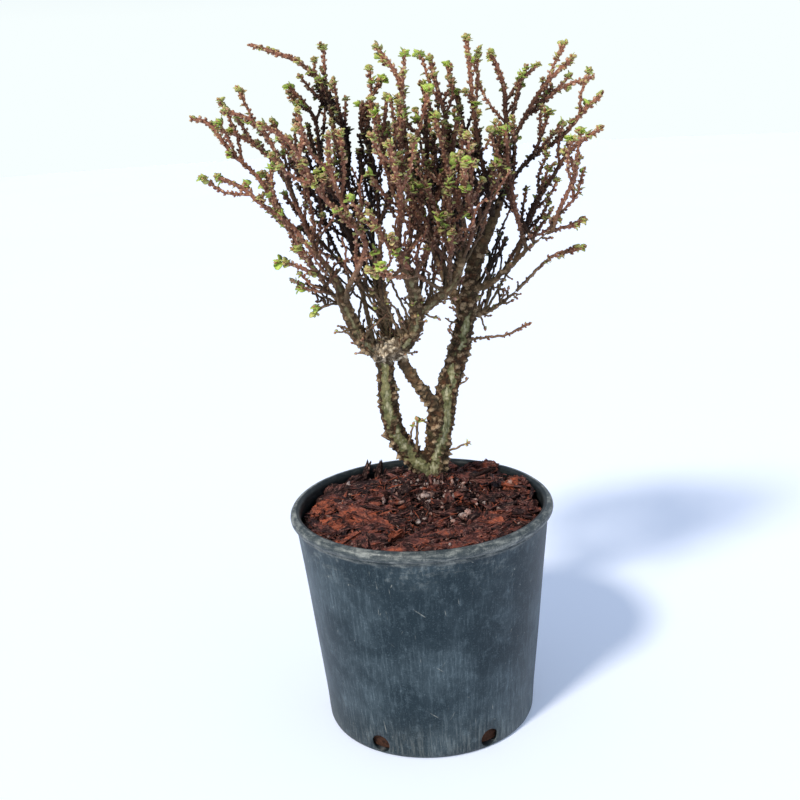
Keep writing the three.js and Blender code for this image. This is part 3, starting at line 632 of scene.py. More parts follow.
def place_number(places, seed):
    """A repeatable number from 0 to 1 for each whole-number place, whose coordinates are mixed by factors."""
    x, y, z = places[..., 0], places[..., 1], places[..., 2]
    mixed = (x * 73856093) ^ (y * 19349663) ^ (z * 83492791) ^ (seed * 2654435)
    mixed = (mixed ^ (mixed >> 13)) * 1274126177 & 0x7FFFFFFF
    mixed = (mixed ^ (mixed >> 11)) * 668265263 & 0x7FFFFFFF
    return (mixed & 0xFFFFFF) / 0xFFFFFF


def smooth_noise(points, pitch, seed):
    """Numbers on a lattice, blended by a smooth cubic between its eight nearest places."""
    scaled = np.asarray(points) / pitch
    base = np.floor(scaled).astype(np.int64)
    part = scaled - base
    blend = part * part * (3 - 2 * part)
    total = np.zeros(len(scaled))
    for corner in np.ndindex(2, 2, 2):
        weight = np.prod(np.where(np.array(corner) == 1, blend, 1 - blend), axis=1)
        total += weight * place_number(base + np.array(corner), seed)
    return total


def wobble(points, size, pitch, seed, middle=0.5):
    """Smooth noise less its middle value, times a size."""
    return size * (smooth_noise(points, pitch, seed) - middle)


def warts(points, pitch, seed):
    """Distance to the nearest of one random point a lattice cell, in pitches, and that point's own number."""
    scaled = np.asarray(points) / pitch
    base = np.floor(scaled).astype(np.int64)
    nearest, number = np.full(len(scaled), 9.0), np.zeros(len(scaled))
    for step in np.ndindex(3, 3, 3):
        cell = base + np.array(step) - 1
        centre = cell + np.stack([place_number(cell, seed + k) for k in range(3)], axis=1)
        gap = np.linalg.norm(centre - scaled, axis=1)
        closer = gap < nearest
        nearest = np.where(closer, gap, nearest)
        number = np.where(closer, place_number(cell, seed + 3), number)
    return nearest, number


def ease(low, high, value):
    """0 below low, 1 above high, and a smooth cubic between."""
    t = np.clip((value - low) / (high - low), 0, 1)
    return t * t * (3 - 2 * t)


# Shader tools

def tone(red, green, blue):
    """A colour as a screen shows it, from 0 to 255, as the linear numbers that Blender takes."""
    parts = np.array([red, green, blue]) / 255
    linear = np.where(parts <= 0.04045, parts / 12.92, ((parts + 0.055) / 1.055) ** 2.4)
    return tuple(float(part) for part in linear)


class Value:
    """A socket that gives a number, a colour or a vector. Python's operators on numbers add Math nodes."""

    def __init__(self, graph, socket):
        self.graph, self.socket = graph, socket

    def math(self, operation, *terms):
        return self.graph.node("ShaderNodeMath", {"operation": operation}, dict(enumerate(terms)))

    def __add__(self, other):
        return self.math("ADD", self, other)

    def __sub__(self, other):
        return self.math("SUBTRACT", self, other)

    def __rsub__(self, other):
        return self.math("SUBTRACT", other, self)

    def __mul__(self, other):
        return self.math("MULTIPLY", self, other)

    def __pow__(self, other):
        return self.math("POWER", self, other)

    __radd__ = __add__
    __rmul__ = __mul__

    def ease(self, low, high):
        """0 below low, 1 above high, and smooth between."""
        return self.graph.node("ShaderNodeMapRange", {"interpolation_type": "SMOOTHSTEP"},
                               {"Value": self, "From Min": low, "From Max": high})


class Graph:
    """A node tree. Every node comes from one method."""

    def __init__(self, tree):
        self.tree = tree

    def feed(self, socket, value):
        """Links a value to a socket, or sets the socket to a number, a colour or a vector."""
        if isinstance(value, Value):
            self.tree.links.new(value.socket, socket)
        elif socket.type == "RGBA" and len(value) == 3:
            socket.default_value = (*value, 1.0)
        else:
            socket.default_value = value

    def node(self, kind, settings, sockets, output=0):
        """Adds a node, makes its settings, fills its sockets, and gives one of its outputs."""
        node = self.tree.nodes.new(kind)
        for key, value in settings.items():
            if key == "stops":
                for element, (position, colour) in zip(node.color_ramp.elements, value):
                    element.position = position
                    element.color = colour
            else:
                setattr(node, key, value)
        for key, value in sockets.items():
            self.feed(node.inputs[key], value)
        return Value(self, node.outputs[output])

    def part(self, vector, axis):
        return self.node("ShaderNodeSeparateXYZ", {}, {0: vector}, axis)


class Finish(Graph):
    """A material, whose changes over a surface are worked out by expressions.

    A pattern lies on the places of the object, in metres, unless it is given others.
    """

    def __init__(self, name, roughness=0.8, specular=0.4, **settings):
        self.material = bpy.data.materials.new(name)
        self.material.use_nodes = True
        super().__init__(self.material.node_tree)
        self.shader = self.tree.nodes["Principled BSDF"]
        self.shader.inputs["Roughness"].default_value = roughness
        self.shader.inputs["Specular IOR Level"].default_value = specular
        for socket, value in settings.items():
            self.shader.inputs[socket.replace("_", " ")].default_value = value
        self.place = self.node("ShaderNodeTexCoord", {}, {}, "Object")

    def stored(self, name, output="Fac"):
        """A value that the mesh holds at each vertex."""
        return self.node("ShaderNodeAttribute", {"attribute_name": name}, {}, output)

    def squeezed(self, by, places=None):
        """Places with their height multiplied. A pattern on them is squeezed, or by less than 1 drawn out."""
        sockets = {0: places or self.place, 1: (1, 1, by)}
        return self.node("ShaderNodeVectorMath", {"operation": "MULTIPLY"}, sockets)

    def leant(self, angle):
        """The places turned about the Y axis."""
        sockets = {"Vector": self.place, "Angle": angle}
        return self.node("ShaderNodeVectorRotate", {"rotation_type": "Y_AXIS"}, sockets)

    def noise(self, scale, detail=3.0, rough=0.55, places=None):
        sockets = {"Vector": places or self.place, "Scale": scale, "Detail": detail, "Roughness": rough}
        return self.node("ShaderNodeTexNoise", {}, sockets)

    def cells(self, scale, places=None):
        """The distance to the nearest of many random points."""
        sockets = {"Vector": places or self.place, "Scale": scale}
        return self.node("ShaderNodeTexVoronoi", {}, sockets, "Distance")

    def mix(self, factor, first, second):
        """A colour between two, by factor."""
        return self.node("ShaderNodeMix", {"data_type": "RGBA"}, {0: factor, 6: first, 7: second}, 2)

    def bump(self, height, distance, strength=1.0):
        """Raises the surface by height times a distance in metres."""
        sockets = {"Height": height, "Distance": distance, "Strength": strength}
        self.feed(self.shader.inputs["Normal"], self.node("ShaderNodeBump", {}, sockets))

    def layers(self, base, *layers):
        """A base colour with colours laid over it one after another, each by its factor."""
        for factor, colour in layers:
            base = self.mix(factor, base, colour)
        return base

    def colour(self, value):
        self.feed(self.shader.inputs["Base Color"], value)

    def roughness(self, value):
        self.feed(self.shader.inputs["Roughness"], value)


# Properties

def colour_property(label, note, rgb):
    return bpy.props.FloatVectorProperty(name=label, description=note, default=tone(*rgb), subtype="COLOR",
                                         size=3, min=0.0, max=1.0)


def length_property(label, note, millimetres):
    return bpy.props.FloatProperty(name=label, description=note, default=millimetres * MM, unit="LENGTH",
                                   min=0.0, precision=5)


def count_property(label, note, count):
    return bpy.props.IntProperty(name=label, description=note, default=count, min=0)


def strength_property(label, note, strength, **more):
    return bpy.props.FloatProperty(name=label, description=note, default=strength, min=0.0, **more)


class BonsaiSizes(bpy.types.PropertyGroup):
    """Sizes that a user may change."""

    bud_pitch: length_property("Bud pitch", "Length of stem that bears about two buds", 1.35)
    bud_length: length_property("Bud length", "Length of a bud", 1.65)
    leaf_length: length_property("Leaf length", "Length of a leaf", 2.45)
    spur_pitch: length_property("Spur pitch", "Distance between leafy spurs along a shoot", 8.0)
    cork_height: length_property("Cork height", "How far the cork stands out on a trunk", 1.8)
    wart_pitch: length_property("Wart pitch", "Distance between corky warts", 2.25)
    crumb_count: count_property("Crumbs", "Number of small mulch crumbs", 3600)
    shred_count: count_property("Shreds", "Number of bark shreds", 420)
    grain_count: count_property("Grains", "Number of pale grains", 420)
    limb_spur_count: count_property("Limb spurs", "Number of short spurs on the limbs", 210)
    fibre_count: count_property("Fibres", "Number of thin fibres", 230)


class BonsaiColours(bpy.types.PropertyGroup):
    """Colours that a user may change."""

    pot: colour_property("Pot", "Clean plastic", (17, 35, 43))
    pot_film: colour_property("Pot film", "Thin bluish film on the wall", (126, 144, 152))
    pot_dust: colour_property("Pot dust", "Dust and wear on the plastic", (158, 160, 152))
    strip: colour_property("Smooth bark", "Smooth strip of the trunks", (126, 121, 82))
    strip_pale: colour_property("Pale bark", "Pale streaks on the smooth strip", (196, 190, 156))
    cork: colour_property("Cork", "Cork between the warts", (76, 57, 38))
    # Tan on the wart crests: partly worn cork, partly a painted highlight.
    cork_crest_wear_and_highlight: colour_property("Cork crests", "Worn tops of the warts", (166, 142, 112))
    shoot: colour_property("Shoot", "Bark of the shoots", (150, 100, 78))
    bud: colour_property("Bud", "Bud scales", (182, 124, 96))
    bud_tip: colour_property("Bud tips", "Tips of the buds", (206, 172, 132))
    leaf: colour_property("Leaf", "Grown leaves", (190, 192, 112))
    leaf_young: colour_property("Young leaf", "Bright young leaves", (184, 206, 94))
    leaf_bronze: colour_property("Bronzed leaf", "Leaves tinged by the cold", (206, 180, 128))
    mulch: colour_property("Mulch", "Red-brown bark", (100, 56, 49))
    mulch_bright: colour_property("Bright mulch", "Fresh orange faces of the bark", (166, 84, 54))
    mulch_dark: colour_property("Dark mulch", "Dark, damp bark", (34, 15, 13))
    grain: colour_property("Grains", "Pale mineral grains", (184, 172, 166))


class BonsaiStage(bpy.types.PropertyGroup):
    """The stage's colours and lights."""

    floor: colour_property("Floor", "Plain pale floor", (230, 234, 244))
    # The floor's glow is painted light: the floor is no lamp, and the glow lightens the shadows on it.
    painted_floor_glow: strength_property("Floor glow", "Light that the backlit floor gives", 0.2)
    key_power: strength_property("Key light", "Strength of the key light", 3.0)
    fill_power: strength_property("Fill light", "Power of the fill light", 1.0, subtype="POWER")
    sky_strength: strength_property("Sky", "Strength of the light all round", 1.0)


# Pot

def bed_height(x, y):
    """Height of the mulch in millimetres: level near the wall, with a bell-shaped mound round the trunk."""
    away = (x - TRUNK_FOOT[0]) ** 2 + (y - TRUNK_FOOT[1]) ** 2
    return SURFACE_EDGE + MOUND_HEIGHT * np.exp(-away / (2 * MOUND_SPREAD ** 2))


def between(first, last, count):
    """Points at even steps from the first to the last."""
    share = np.linspace(0, 1, count)[:, None]
    return np.array(first) * (1 - share) + np.array(last) * share


def pot_shape():
    """Foot ring, tapered wall, rolled rim, bore and floor as one profile, turned about the Z axis.

    The wall swells by a slow and a quick sine of the angle, and is drawn in by as much.
    """
    top, under = POT_HEIGHT, POT_HEIGHT - RIM_DEPTH
    foot, neck, bore = POT_FOOT_RADIUS, POT_NECK_RADIUS, RIM_INNER_RADIUS
    roll_size, wall_steps = np.array([2.1, 2.4]), 26
    base = [[0, 0.7], [foot - 7, 0.7], [foot - 6, 0.1], [foot - 5, 0], [foot - 1.6, 0], [foot - 0.6, 0.4]]
    outer = between([foot - 0.1, 1.6], [neck - 0.15, under - 1.6], wall_steps)
    lip = [[neck + 0.1, under - 0.9], [neck + 0.5, under - 0.5]]
    turn = np.linspace(-0.5, 0.5, 9)[:, None] * math.pi
    roll = np.array([RIM_RADIUS, top]) - roll_size + roll_size * np.hstack([np.cos(turn), np.sin(turn)])
    mouth = [[RIM_RADIUS - 3.0, top - 0.05], [bore + 0.7, top - 0.5], [bore + 0.15, top - 1.3],
             [bore, top - 2.6], [bore + 0.1, under + 0.4]]
    inner = between([neck - POT_WALL, under - 3], [foot - POT_WALL, POT_FLOOR + 1], wall_steps)
    floor = [[foot - POT_WALL - 1, POT_FLOOR], [0, POT_FLOOR]]
    shape = turned(np.vstack([base, outer, lip, roll, mouth, inner, floor]), POT_SIDES)
    points = shape.vertices
    angle = np.arctan2(points[:, 1], points[:, 0])
    lift = np.clip(points[:, 2] / under, 0, 1)
    slow, quick = 0.22, 0.1
    swell = slow * np.sin(3 * angle + 1.3) * np.sin(math.pi * lift)
    swell = swell + quick * np.sin(7 * angle + 9 * lift) * lift
    wavy = ease(30, 40, np.hypot(points[:, 0], points[:, 1])) * ease(2, 14, points[:, 2])
    points[:, :2] *= (1 + (swell - (slow + quick)) * wavy / neck)[:, None]
    return shape


def drain_cutter():
    """Rounds of 20 sides that lie radially through the bottom corner of the pot."""
    reach = np.linspace(POT_FOOT_RADIUS - 6, POT_FOOT_RADIUS + 6, 3)[:, None]
    rounds = []
    for k in range(DRAIN_HOLES):
        heading = k * FULL_TURN / DRAIN_HOLES
        out = np.array([math.cos(heading), math.sin(heading), 0])
        rounds.append(tube(out * reach + WORLD_Z * DRAIN_LIFT, DRAIN_RADIUS, 20))
    return joined(rounds)


# Mulch: slabs, splinters, crumbs and grains

def slabs(draw, count, rows, columns, ragged, ridge, bow, square=0.7):
    """Unit slabs, each one a closed tube along Z: a squarish section whose corners wander from ring to ring.

    x and y are cos and sin of the section's angle, pushed out towards a square. Ridges keep their side along
    the length, the ends are drawn out by a random length a side, and the middle bows by 1 - (2z)^2.
    """
    angle = (np.arange(columns) + 0.5) * FULL_TURN / columns
    u = np.linspace(-0.5, 0.5, rows)
    section = np.stack([np.cos(angle), np.sin(angle)], axis=1)
    section /= np.max(np.abs(section), axis=1, keepdims=True) * square + 1 - square
    ridges = 1 + ridge * draw.normal(size=(count, 1, columns))
    wander = 1 + 0.5 * ridge * draw.normal(size=(count, rows, columns))
    taper = 1 - (0.25 + 0.55 * draw.random((count, 1, 1))) * np.abs(2 * u[None, :, None]) ** 3
    plane = section[None, None] * (ridges * wander * taper)[..., None]
    ends = (np.abs(2 * u) ** 4 * np.sign(u))[None, :, None] * ragged * draw.normal(size=(count, 1, columns))
    along = np.broadcast_to(u[None, :, None] + ends, (count, rows, columns))
    bowed = bow * draw.normal(size=(count, 1, 1)) * (1 - 4 * u[None, :, None] ** 2)
    ring = np.stack([plane[..., 0] * 0.5, plane[..., 1] * 0.5 + bowed, along], axis=-1)
    first, last = ring[:, 0].mean(axis=1, keepdims=True), ring[:, -1].mean(axis=1, keepdims=True)
    local = np.concatenate([ring.reshape(count, rows * columns, 3), first, last], axis=1)
    return local, closed_faces(rows, columns)


def lay(draw, template, places, heights, directions, roll, sizes, tint):
    """Slabs at their places on the bed, with one tint each and a grain that runs along each.

    Whatever reaches past the bore is drawn in along the radius.
    """
    local, faces = template
    scaled = local * sizes[:, None]
    grain = scaled * (1, 1, 0.1) + draw.random((len(local), 1, 3)) * 90
    shape = copied(scaled, faces, np.column_stack([places, heights]), frames_towards(directions, roll),
                   tint=tint, grain=grain.reshape(-1, 3))
    points = shape.vertices
    away = np.hypot(points[:, 0], points[:, 1])
    points[:, :2] *= np.minimum(1, (BORE - 0.4) / np.maximum(away, 1))[:, None]
    return shape


def headings(heading, tilt):
    """Directions from a heading about Z and a tilt out of the level, in radians."""
    return np.stack([np.cos(heading) * np.cos(tilt), np.sin(heading) * np.cos(tilt), np.sin(tilt)], axis=1)


def any_heading(draw, count, tilt):
    """Directions of random headings, whose tilt out of the level is drawn from a bell."""
    return headings(draw.random(count) * FULL_TURN, draw.normal(0, tilt, count))


def tints(draw, count, middle, spread, most=1.0):
    """Tints drawn from a bell and kept between 0 and the most."""
    return np.clip(draw.normal(middle, spread, count), 0, most)


def ring_places(away, heading):
    """Level places at a distance and a heading from the middle."""
    return away[:, None] * np.stack([np.cos(heading), np.sin(heading)], axis=1)


def spread_over_bed(draw, count, reach, gap=0.0):
    """Places in a disc of radius reach, by the square root of a random share, kept off the trunk by gap."""
    away = reach * np.sqrt(draw.random(count))
    places = ring_places(away, draw.random(count) * FULL_TURN)
    from_trunk = places - TRUNK_FOOT
    distance = np.linalg.norm(from_trunk, axis=1, keepdims=True)
    return np.where(distance < gap, TRUNK_FOOT + from_trunk / np.maximum(distance, 0.1) * gap, places)


def thicker_round_trunk(draw, places, share, gap, spread):
    """The places, with a share of them moved to a ring round the trunk: half a bell that begins at gap."""
    near = draw.random(len(places)) < share
    heading = draw.random(len(places)) * FULL_TURN
    away = gap + np.abs(draw.normal(0, spread, len(places)))
    return np.where(near[:, None], TRUNK_FOOT + ring_places(away, heading), places)


# Chips that can be told apart: x, y, height over the bed, length, width, thickness, heading, tilt, roll and
# tint. Lengths are in millimetres and angles in degrees.
CHIPS = [
    (-25, -4, 1.6, 38, 7, 3.2, -50, -3, 8, 0.80),
    (-18, -12, 1.0, 24, 6, 2.6, -60, -4, -20, 0.70),
    (-29, 27, 2.0, 22, 8, 3.2, 30, 4, 10, 0.12),
    (-30, 12, 1.2, 24, 6, 2.8, -38, 3, -10, 0.34),
    (-37, -9, 1.2, 14, 9, 5.0, 32, 10, 24, 0.88),
    (-39, 30, 2.0, 11, 9, 6.0, 72, 6, 0, 0.30),
    (-43, 9, 1.6, 13, 9, 4.5, 52, 12, 20, 0.92),
    (-31, -24, 1.0, 15, 7, 3.6, 49, 6, -16, 0.80),
    (-12, -27, 1.8, 14, 7, 3.4, -81, 40, 10, 0.96),
    (-3, -29, 1.2, 24, 7, 3.2, 54, -4, 20, 0.55),
    (-4, -35, 1.0, 19, 7, 3.0, 38, 4, -12, 0.78),
    (-22, -33, 1.6, 15, 11, 5.5, 12, 8, 14, 0.36),
    (-25, 43, 3.4, 14, 3.4, 2.4, 40, 66, 20, -0.2),
    (-19, 45, 3.0, 12, 2.8, 2.0, 10, 76, 60, -0.2),
    (-13, 44, 2.0, 13, 6, 4.0, -20, 22, 10, 0.10),
    (20, 23, 2.2, 30, 4, 2.4, -24, 3, 10, 0.40),
    (31, 40, 4.0, 16, 12, 5.5, -47, 22, 14, 0.62),
    (24, 45, 3.0, 12, 8, 4.0, -10, 30, 0, 0.50),
    (24, 36, 1.6, 14, 6, 3.0, -65, 5, 10, 0.44),
    (11, 6, 2.0, 30, 2.6, 1.8, -80, 2, 30, 0.42),
    (28, -12, 1.2, 18, 8, 3.4, -57, 6, 10, 0.78),
    (44, 26, 2.4, 22, 8, 4.5, -77, 14, 30, 0.48),
    (45, 14, 2.2, 15, 7, 4.0, -60, 18, -24, 0.66),
    (41, 20, 3.0, 11, 7, 4.6, -62, 12, 12, 1.40),
    (40, 10, 1.6, 24, 7, 3.2, -68, 4, 16, 0.34),
    (35, 33, 1.6, 26, 7, 3.6, -87, 5, 12, 0.16),
    (6, -16, 0.8, 17, 4, 2.4, 45, 3, 0, 0.50),
    (14, -24, 1.0, 26, 7, 3.2, 14, 3, 12, 0.60),
    (20, -33, 1.2, 22, 8, 3.2, 30, 3, 20, 0.68),
    (-30, 39, 1.8, 14, 7, 4.5, 54, 8, 0, 0.20),
    (31, -23, 1.0, 16, 5, 3.0, 41, 3, 10, 0.62),
    (-48, -7, 1.4, 14, 6, 4.0, -74, 12, 20, 0.26),
    (-44, -16, 1.4, 12, 8, 4.5, -30, 8, 10, 0.50),
    (-36, 14, 1.2, 20, 6, 3.0, -30, 4, 10, 0.42),
    (-20, 14, 1.2, 26, 5, 2.6, 24, 4, -10, 0.46),
    (-13, -9, 0.8, 17, 4, 2.2, -34, 2, 0, 0.30),
    (-40, 22, 1.4, 15, 6, 3.4, 10, 6, 10, 0.38),
    (8, -40, 1.0, 20, 7, 3.0, 8, 4, 30, 0.58),
    (-12, -42, 1.0, 16, 8, 3.2, -14, 6, 18, 0.72),
    (-5, 12, 1.6, 9, 7, 5.0, 30, 12, 0, -0.35),
    (0.5, 3, 2.0, 20, 1.9, 1.7, -75, -8, 20, -0.35),
    (0, 45, 1.6, 18, 8, 4.0, 12, 10, 0, 0.22),
    (12, 44, 2.0, 14, 7, 4.0, -30, 14, 10, 0.36),
    (30, 8, 1.0, 14, 5, 2.6, 20, 4, 0, 0.34),
    (38, -4, 1.2, 16, 6, 3.0, -30, 6, 10, 0.56),
    (46, -2, 1.4, 14, 6, 3.4, 76, 10, -20, 0.40),
    (36, -27, 1.2, 15, 6, 3.0, 36, 6, -20, 0.52),
]

# Pale grains and clumps that can be told apart: x, y, height over the bed and size.
PALE_GRAINS = [
    (3, 11.5, 2.2, 3.4), (7, 11, 2.0, 3.8), (10, 11.5, 2.2, 2.8), (-1, 14, 2.6, 2.6), (14.5, 14, 2.4, 2.6),
    (1, 3, 1.4, 4.6), (4, 4, 1.6, 3.6), (3, 0.5, 1.2, 3.0), (-9, 3, 1.3, 2.6), (9, -4, 1.4, 2.8),
    (17, -9, 1.2, 3.4), (19.5, -8, 1.4, 3.8), (18, -11, 1.2, 2.8), (13, -14, 1.2, 3.2), (4, -8, 1.2, 2.2),
    (33, -3, 1.2, 2.4), (37, -6, 1.2, 2.0), (-2, -13, 1.0, 2.0), (24, 0, 1.1, 1.8), (-14, -3, 1.1, 1.8),
    (41, 20, 4.2, 4.0), (-33, 33, 3.0, 2.8), (-16, 8, 1.2, 3.4), (9, -1, 1.2, 1.8), (40, -18, 1.0, 2.2),
    (31, -12, 1.1, 1.8),
]


def laid_on_chips(draw, places, heights, share):
    """The heights, with a share of them raised to the top of the bark chip that lies under the place."""
    chips = BVHTree.FromObject(bpy.data.objects["bark_chips"], bpy.context.evaluated_depsgraph_get())
    above, down = 0.2, (0, 0, -1)
    raised = heights.copy()
    for number in np.flatnonzero(draw.random(len(places)) < share):
        x, y = places[number] * MM
        top = chips.ray_cast((x, y, above), down)[0]
        if top is not None:
            raised[number] = max(raised[number], top.z / MM)
    return raised


def mulch_bed_shape():
    """A closed disc. Its top follows the mound, roughened by three octaves of noise."""
    rings, thickness, sunk = 56, 3.6, 1.4
    low = SURFACE_EDGE - thickness
    away = np.linspace(BORE, 0, rings + 1)[:-1]
    level = np.stack([away, np.full(rings, SURFACE_EDGE)], axis=1)
    shape = turned(np.vstack([[[0, low], [BORE, low]], level, [[0, SURFACE_EDGE]]]), POT_SIDES)
    points = shape.vertices
    top = points[:, 2] > SURFACE_EDGE - 0.1
    rough = sum(wobble(points, *octave) for octave in ((3.0, 9.0, 5), (2.2, 3.6, 6), (1.4, 1.5, 7)))
    height = bed_height(points[:, 0], points[:, 1]) - sunk + rough
    points[:, 2] = np.where(top, height, points[:, 2])
    # The bed's tint is kept low: dark damp bark, and painted shade in the gaps between the chips.
    shape.values["tint"] = smooth_noise(points, 7.0, 8) * 0.4 - 0.3
    shape.values["grain"] = points.copy()
    return shape


def chip_shape():
    """The chips of the table, as slabs of 26 rings and 20 sides."""
    draw = np.random.default_rng(11)
    table = np.array(CHIPS, float)
    template = slabs(draw, len(table), 26, 20, ragged=0.09, ridge=0.17, bow=0.03)
    places, lift, sizes, tint = table[:, :2], table[:, 2], table[:, [4, 5, 3]], table[:, 9]
    heading, tilt, roll = (np.radians(table[:, column]) for column in (6, 7, 8))
    heights = lift + (bed_height(*places.T) - 0.6)
    return lay(draw, template, places, heights, headings(heading, tilt), roll, sizes, tint)


def shred_shape(count):
    """Splinters and flakes at random places and headings, most of them lying down."""
    draw = np.random.default_rng(12)
    template = slabs(draw, count, 6, 6, ragged=0.1, ridge=0.2, bow=0.08)
    places = spread_over_bed(draw, count, BORE - 2.5, 10)
    length = 4 + 9 * draw.random(count) ** 1.6
    sizes = np.stack([1.1 + 2.6 * draw.random(count), 0.6 + 0.9 * draw.random(count), length], axis=1)
    lift = draw.random(count) * 1.6 - 0.2
    heights = laid_on_chips(draw, places, bed_height(*places.T) + lift, 0.25)
    tilt, roll = draw.normal(0, 0.2, count), draw.normal(0, 0.5, count)
    tint = tints(draw, count, 0.37, 0.26)
    directions = headings(draw.random(count) * FULL_TURN, tilt)
    return lay(draw, template, places, heights, directions, roll, sizes, tint)


def crumb_shape(count):
    """Crumbs of 16 triangles, thrown over the bed and heaped round the trunk."""
    draw = np.random.default_rng(13)
    template = slabs(draw, count, 2, 4, ragged=0.25, ridge=0.25, bow=0.0)
    places = thicker_round_trunk(draw, spread_over_bed(draw, count, BORE - 1.5), 0.26, 6.9, 3.2)
    size = 0.7 + 1.7 * draw.random(count) ** 2
    sizes = size[:, None] * (0.7 + 0.6 * draw.random((count, 3)))
    heaped = 4.2 * (1 - ease(7, 13, np.linalg.norm(places - TRUNK_FOOT, axis=1)))
    heights = bed_height(*places.T) + draw.random(count) * (1.3 + heaped) - 0.2
    heights = laid_on_chips(draw, places, heights, 0.3)
    directions = any_heading(draw, count, 0.8)
    tint = tints(draw, count, 0.34, 0.26)
    return lay(draw, template, places, heights, directions, draw.random(count) * 6, sizes, tint)


def grain_shape(count):
    """Pale flat angular grains: the table's first, then small ones at random."""
    draw = np.random.default_rng(14)
    table = np.array(PALE_GRAINS, float)
    places = thicker_round_trunk(draw, spread_over_bed(draw, count, BORE - 2, 9), 0.5, 7.5, 7.0)
    size = np.append(table[:, 3], 0.6 + 1.3 * draw.random(count) ** 2.2)
    lift = np.append(table[:, 2], 0.6 + 0.7 * draw.random(count))
    places = np.vstack([table[:, :2], places])
    total = len(places)
    template = slabs(draw, total, 4, 6, ragged=0.22, ridge=0.3, bow=0.0, square=0.45)
    sizes = size[:, None] * (0.65 + 0.5 * draw.random((total, 3))) * (1, 0.62, 1)
    heights = laid_on_chips(draw, places, bed_height(*places.T) + lift, 0.4)
    directions = any_heading(draw, total, 0.7)
    roll, tint = draw.random(total) * 6, draw.random(total)
    return lay(draw, template, places, heights, directions, roll, sizes, tint)


def fibre_shape(count):
    """Thin bent fibres: slabs of a large bow and a small section."""
    draw = np.random.default_rng(15)
    local, faces = slabs(draw, count, 7, 3, ragged=0.02, ridge=0.1, bow=0.9, square=0.0)
    places = spread_over_bed(draw, count, BORE - 4, 10)
    length = 4 + 9 * draw.random(count)
    width = 0.3 + 0.25 * draw.random(count)
    sizes = np.stack([width, np.maximum(width, 0.08 * length), length], axis=1)
    local[:, :, 1] *= (width / sizes[:, 1])[:, None] * 0.5 + 0.5
    heights = laid_on_chips(draw, places, bed_height(*places.T) + 0.6 + draw.random(count) * 1.2, 0.5)
    directions = any_heading(draw, count, 0.16)
    tint = tints(draw, count, 0.85, 0.3, 1.4)
    return lay(draw, (local, faces), places, heights, directions, draw.normal(0, 0.7, count), sizes, tint)


# Wood

# Limbs by their number in LIMBS.
LEFT_TRUNK, RIGHT_TRUNK, MIDDLE_LIMB = range(3)
STRIPED_LIMBS = [0, 1, 3, 4, 5, 6]


def limb_radii(name, ends, share):
    """Radii along a limb: an even taper, less what LIMB_TRIM says, drawn in where its end bears shoots."""
    foot, tip = ends
    drawn_in = 0.0 if name in ("left_trunk", "middle_limb") else 0.42 * ease(0.72, 1.0, share)
    return (foot + (tip - foot) * share - LIMB_TRIM.get(name, 0.0)) * (1 - drawn_in)


def flare_shape():
    """The foot: a tapered round whose radius swells in four lobes, cos(4a + 1), below the mulch line."""
    sides, rows = 48, 14
    heights = np.linspace(STUMP_TOP - 20, STUMP_TOP, rows)
    angle = np.arange(sides) * FULL_TURN / sides
    share = np.minimum(1, 3 * (STUMP_TOP - heights) / STUMP_DEPTH)[:, None]
    lobes = 0.5 + 0.5 * np.cos(4 * angle + 1)[None]
    radii = STUMP_RADIUS + share * (1.4 + 1.6 * lobes)
    x = TRUNK_FOOT[0] + radii * np.cos(angle)
    y = TRUNK_FOOT[1] + radii * np.sin(angle)
    rings = np.stack([x, y, np.broadcast_to(heights[:, None], x.shape)], axis=-1).reshape(-1, 3)
    poles = [[*TRUNK_FOOT, heights[0]], [*TRUNK_FOOT, heights[-1]]]
    return Shape(np.vstack([rings, poles]), closed_faces(rows, sides))


def burl_shape(centre, half, lean):
    """A lump: a unit ball with bosses, sin(7x + 3z) cos(5y) and sin(11y + 6x), stretched and leant."""
    turn = np.linspace(0, math.pi, 22)[:, None]
    ball = turned(np.hstack([np.sin(turn), -np.cos(turn)]), 36)
    x, y, z = ball.vertices.T
    boss = 1 + 0.08 * np.sin(7 * x + 3 * z) * np.cos(5 * y) + 0.05 * np.sin(11 * y + 6 * x)
    ball.vertices *= boss[:, None] * np.array(half)
    c, s = math.cos(lean * FULL_TURN), math.sin(lean * FULL_TURN)
    ball.vertices[:] = np.stack([c * x + s * z, y, c * z - s * x], axis=1) + np.array(centre)
    return ball


def limb_axes(tree):
    """Points, directions and plain radii along all limbs, and each one's limb number."""
    step, rows = 0.5, []
    for number, (name, ends, curve) in enumerate(tree.limbs):
        t = np.linspace(0, 1, int(curve.length() / step))
        rows.append((curve.at(t), curve.tangent(t), limb_radii(name, ends, t), np.full(len(t), number)))
    return [np.concatenate(column) for column in zip(*rows)]


def nearest_axis(points, axes, radii):
    """For each point, the number of the axis place whose surface is nearest."""
    nearest = np.zeros(len(points), int)
    for first in range(0, len(points), BLOCK):
        block = points[first:first + BLOCK]
        gap = np.linalg.norm(block[:, None] - axes[None], axis=2) - radii[None]
        nearest[first:first + BLOCK] = gap.argmin(axis=1)
    return nearest


def in_knot(points):
    """1 inside the knot and 0 a little way outside it, with an uneven edge."""
    reach = np.linalg.norm((points - np.array(KNOT_CENTRE)) / (np.array(KNOT_HALF_SIZES) + 0.8), axis=1)
    return 1 - ease(0.85, 1.35, reach + wobble(points, 0.5, 3.0, 29))


def turned_away(angle, heading):
    """The angle between two headings, from 0 to half a turn."""
    return np.abs(np.angle(np.exp(1j * (angle - heading))))


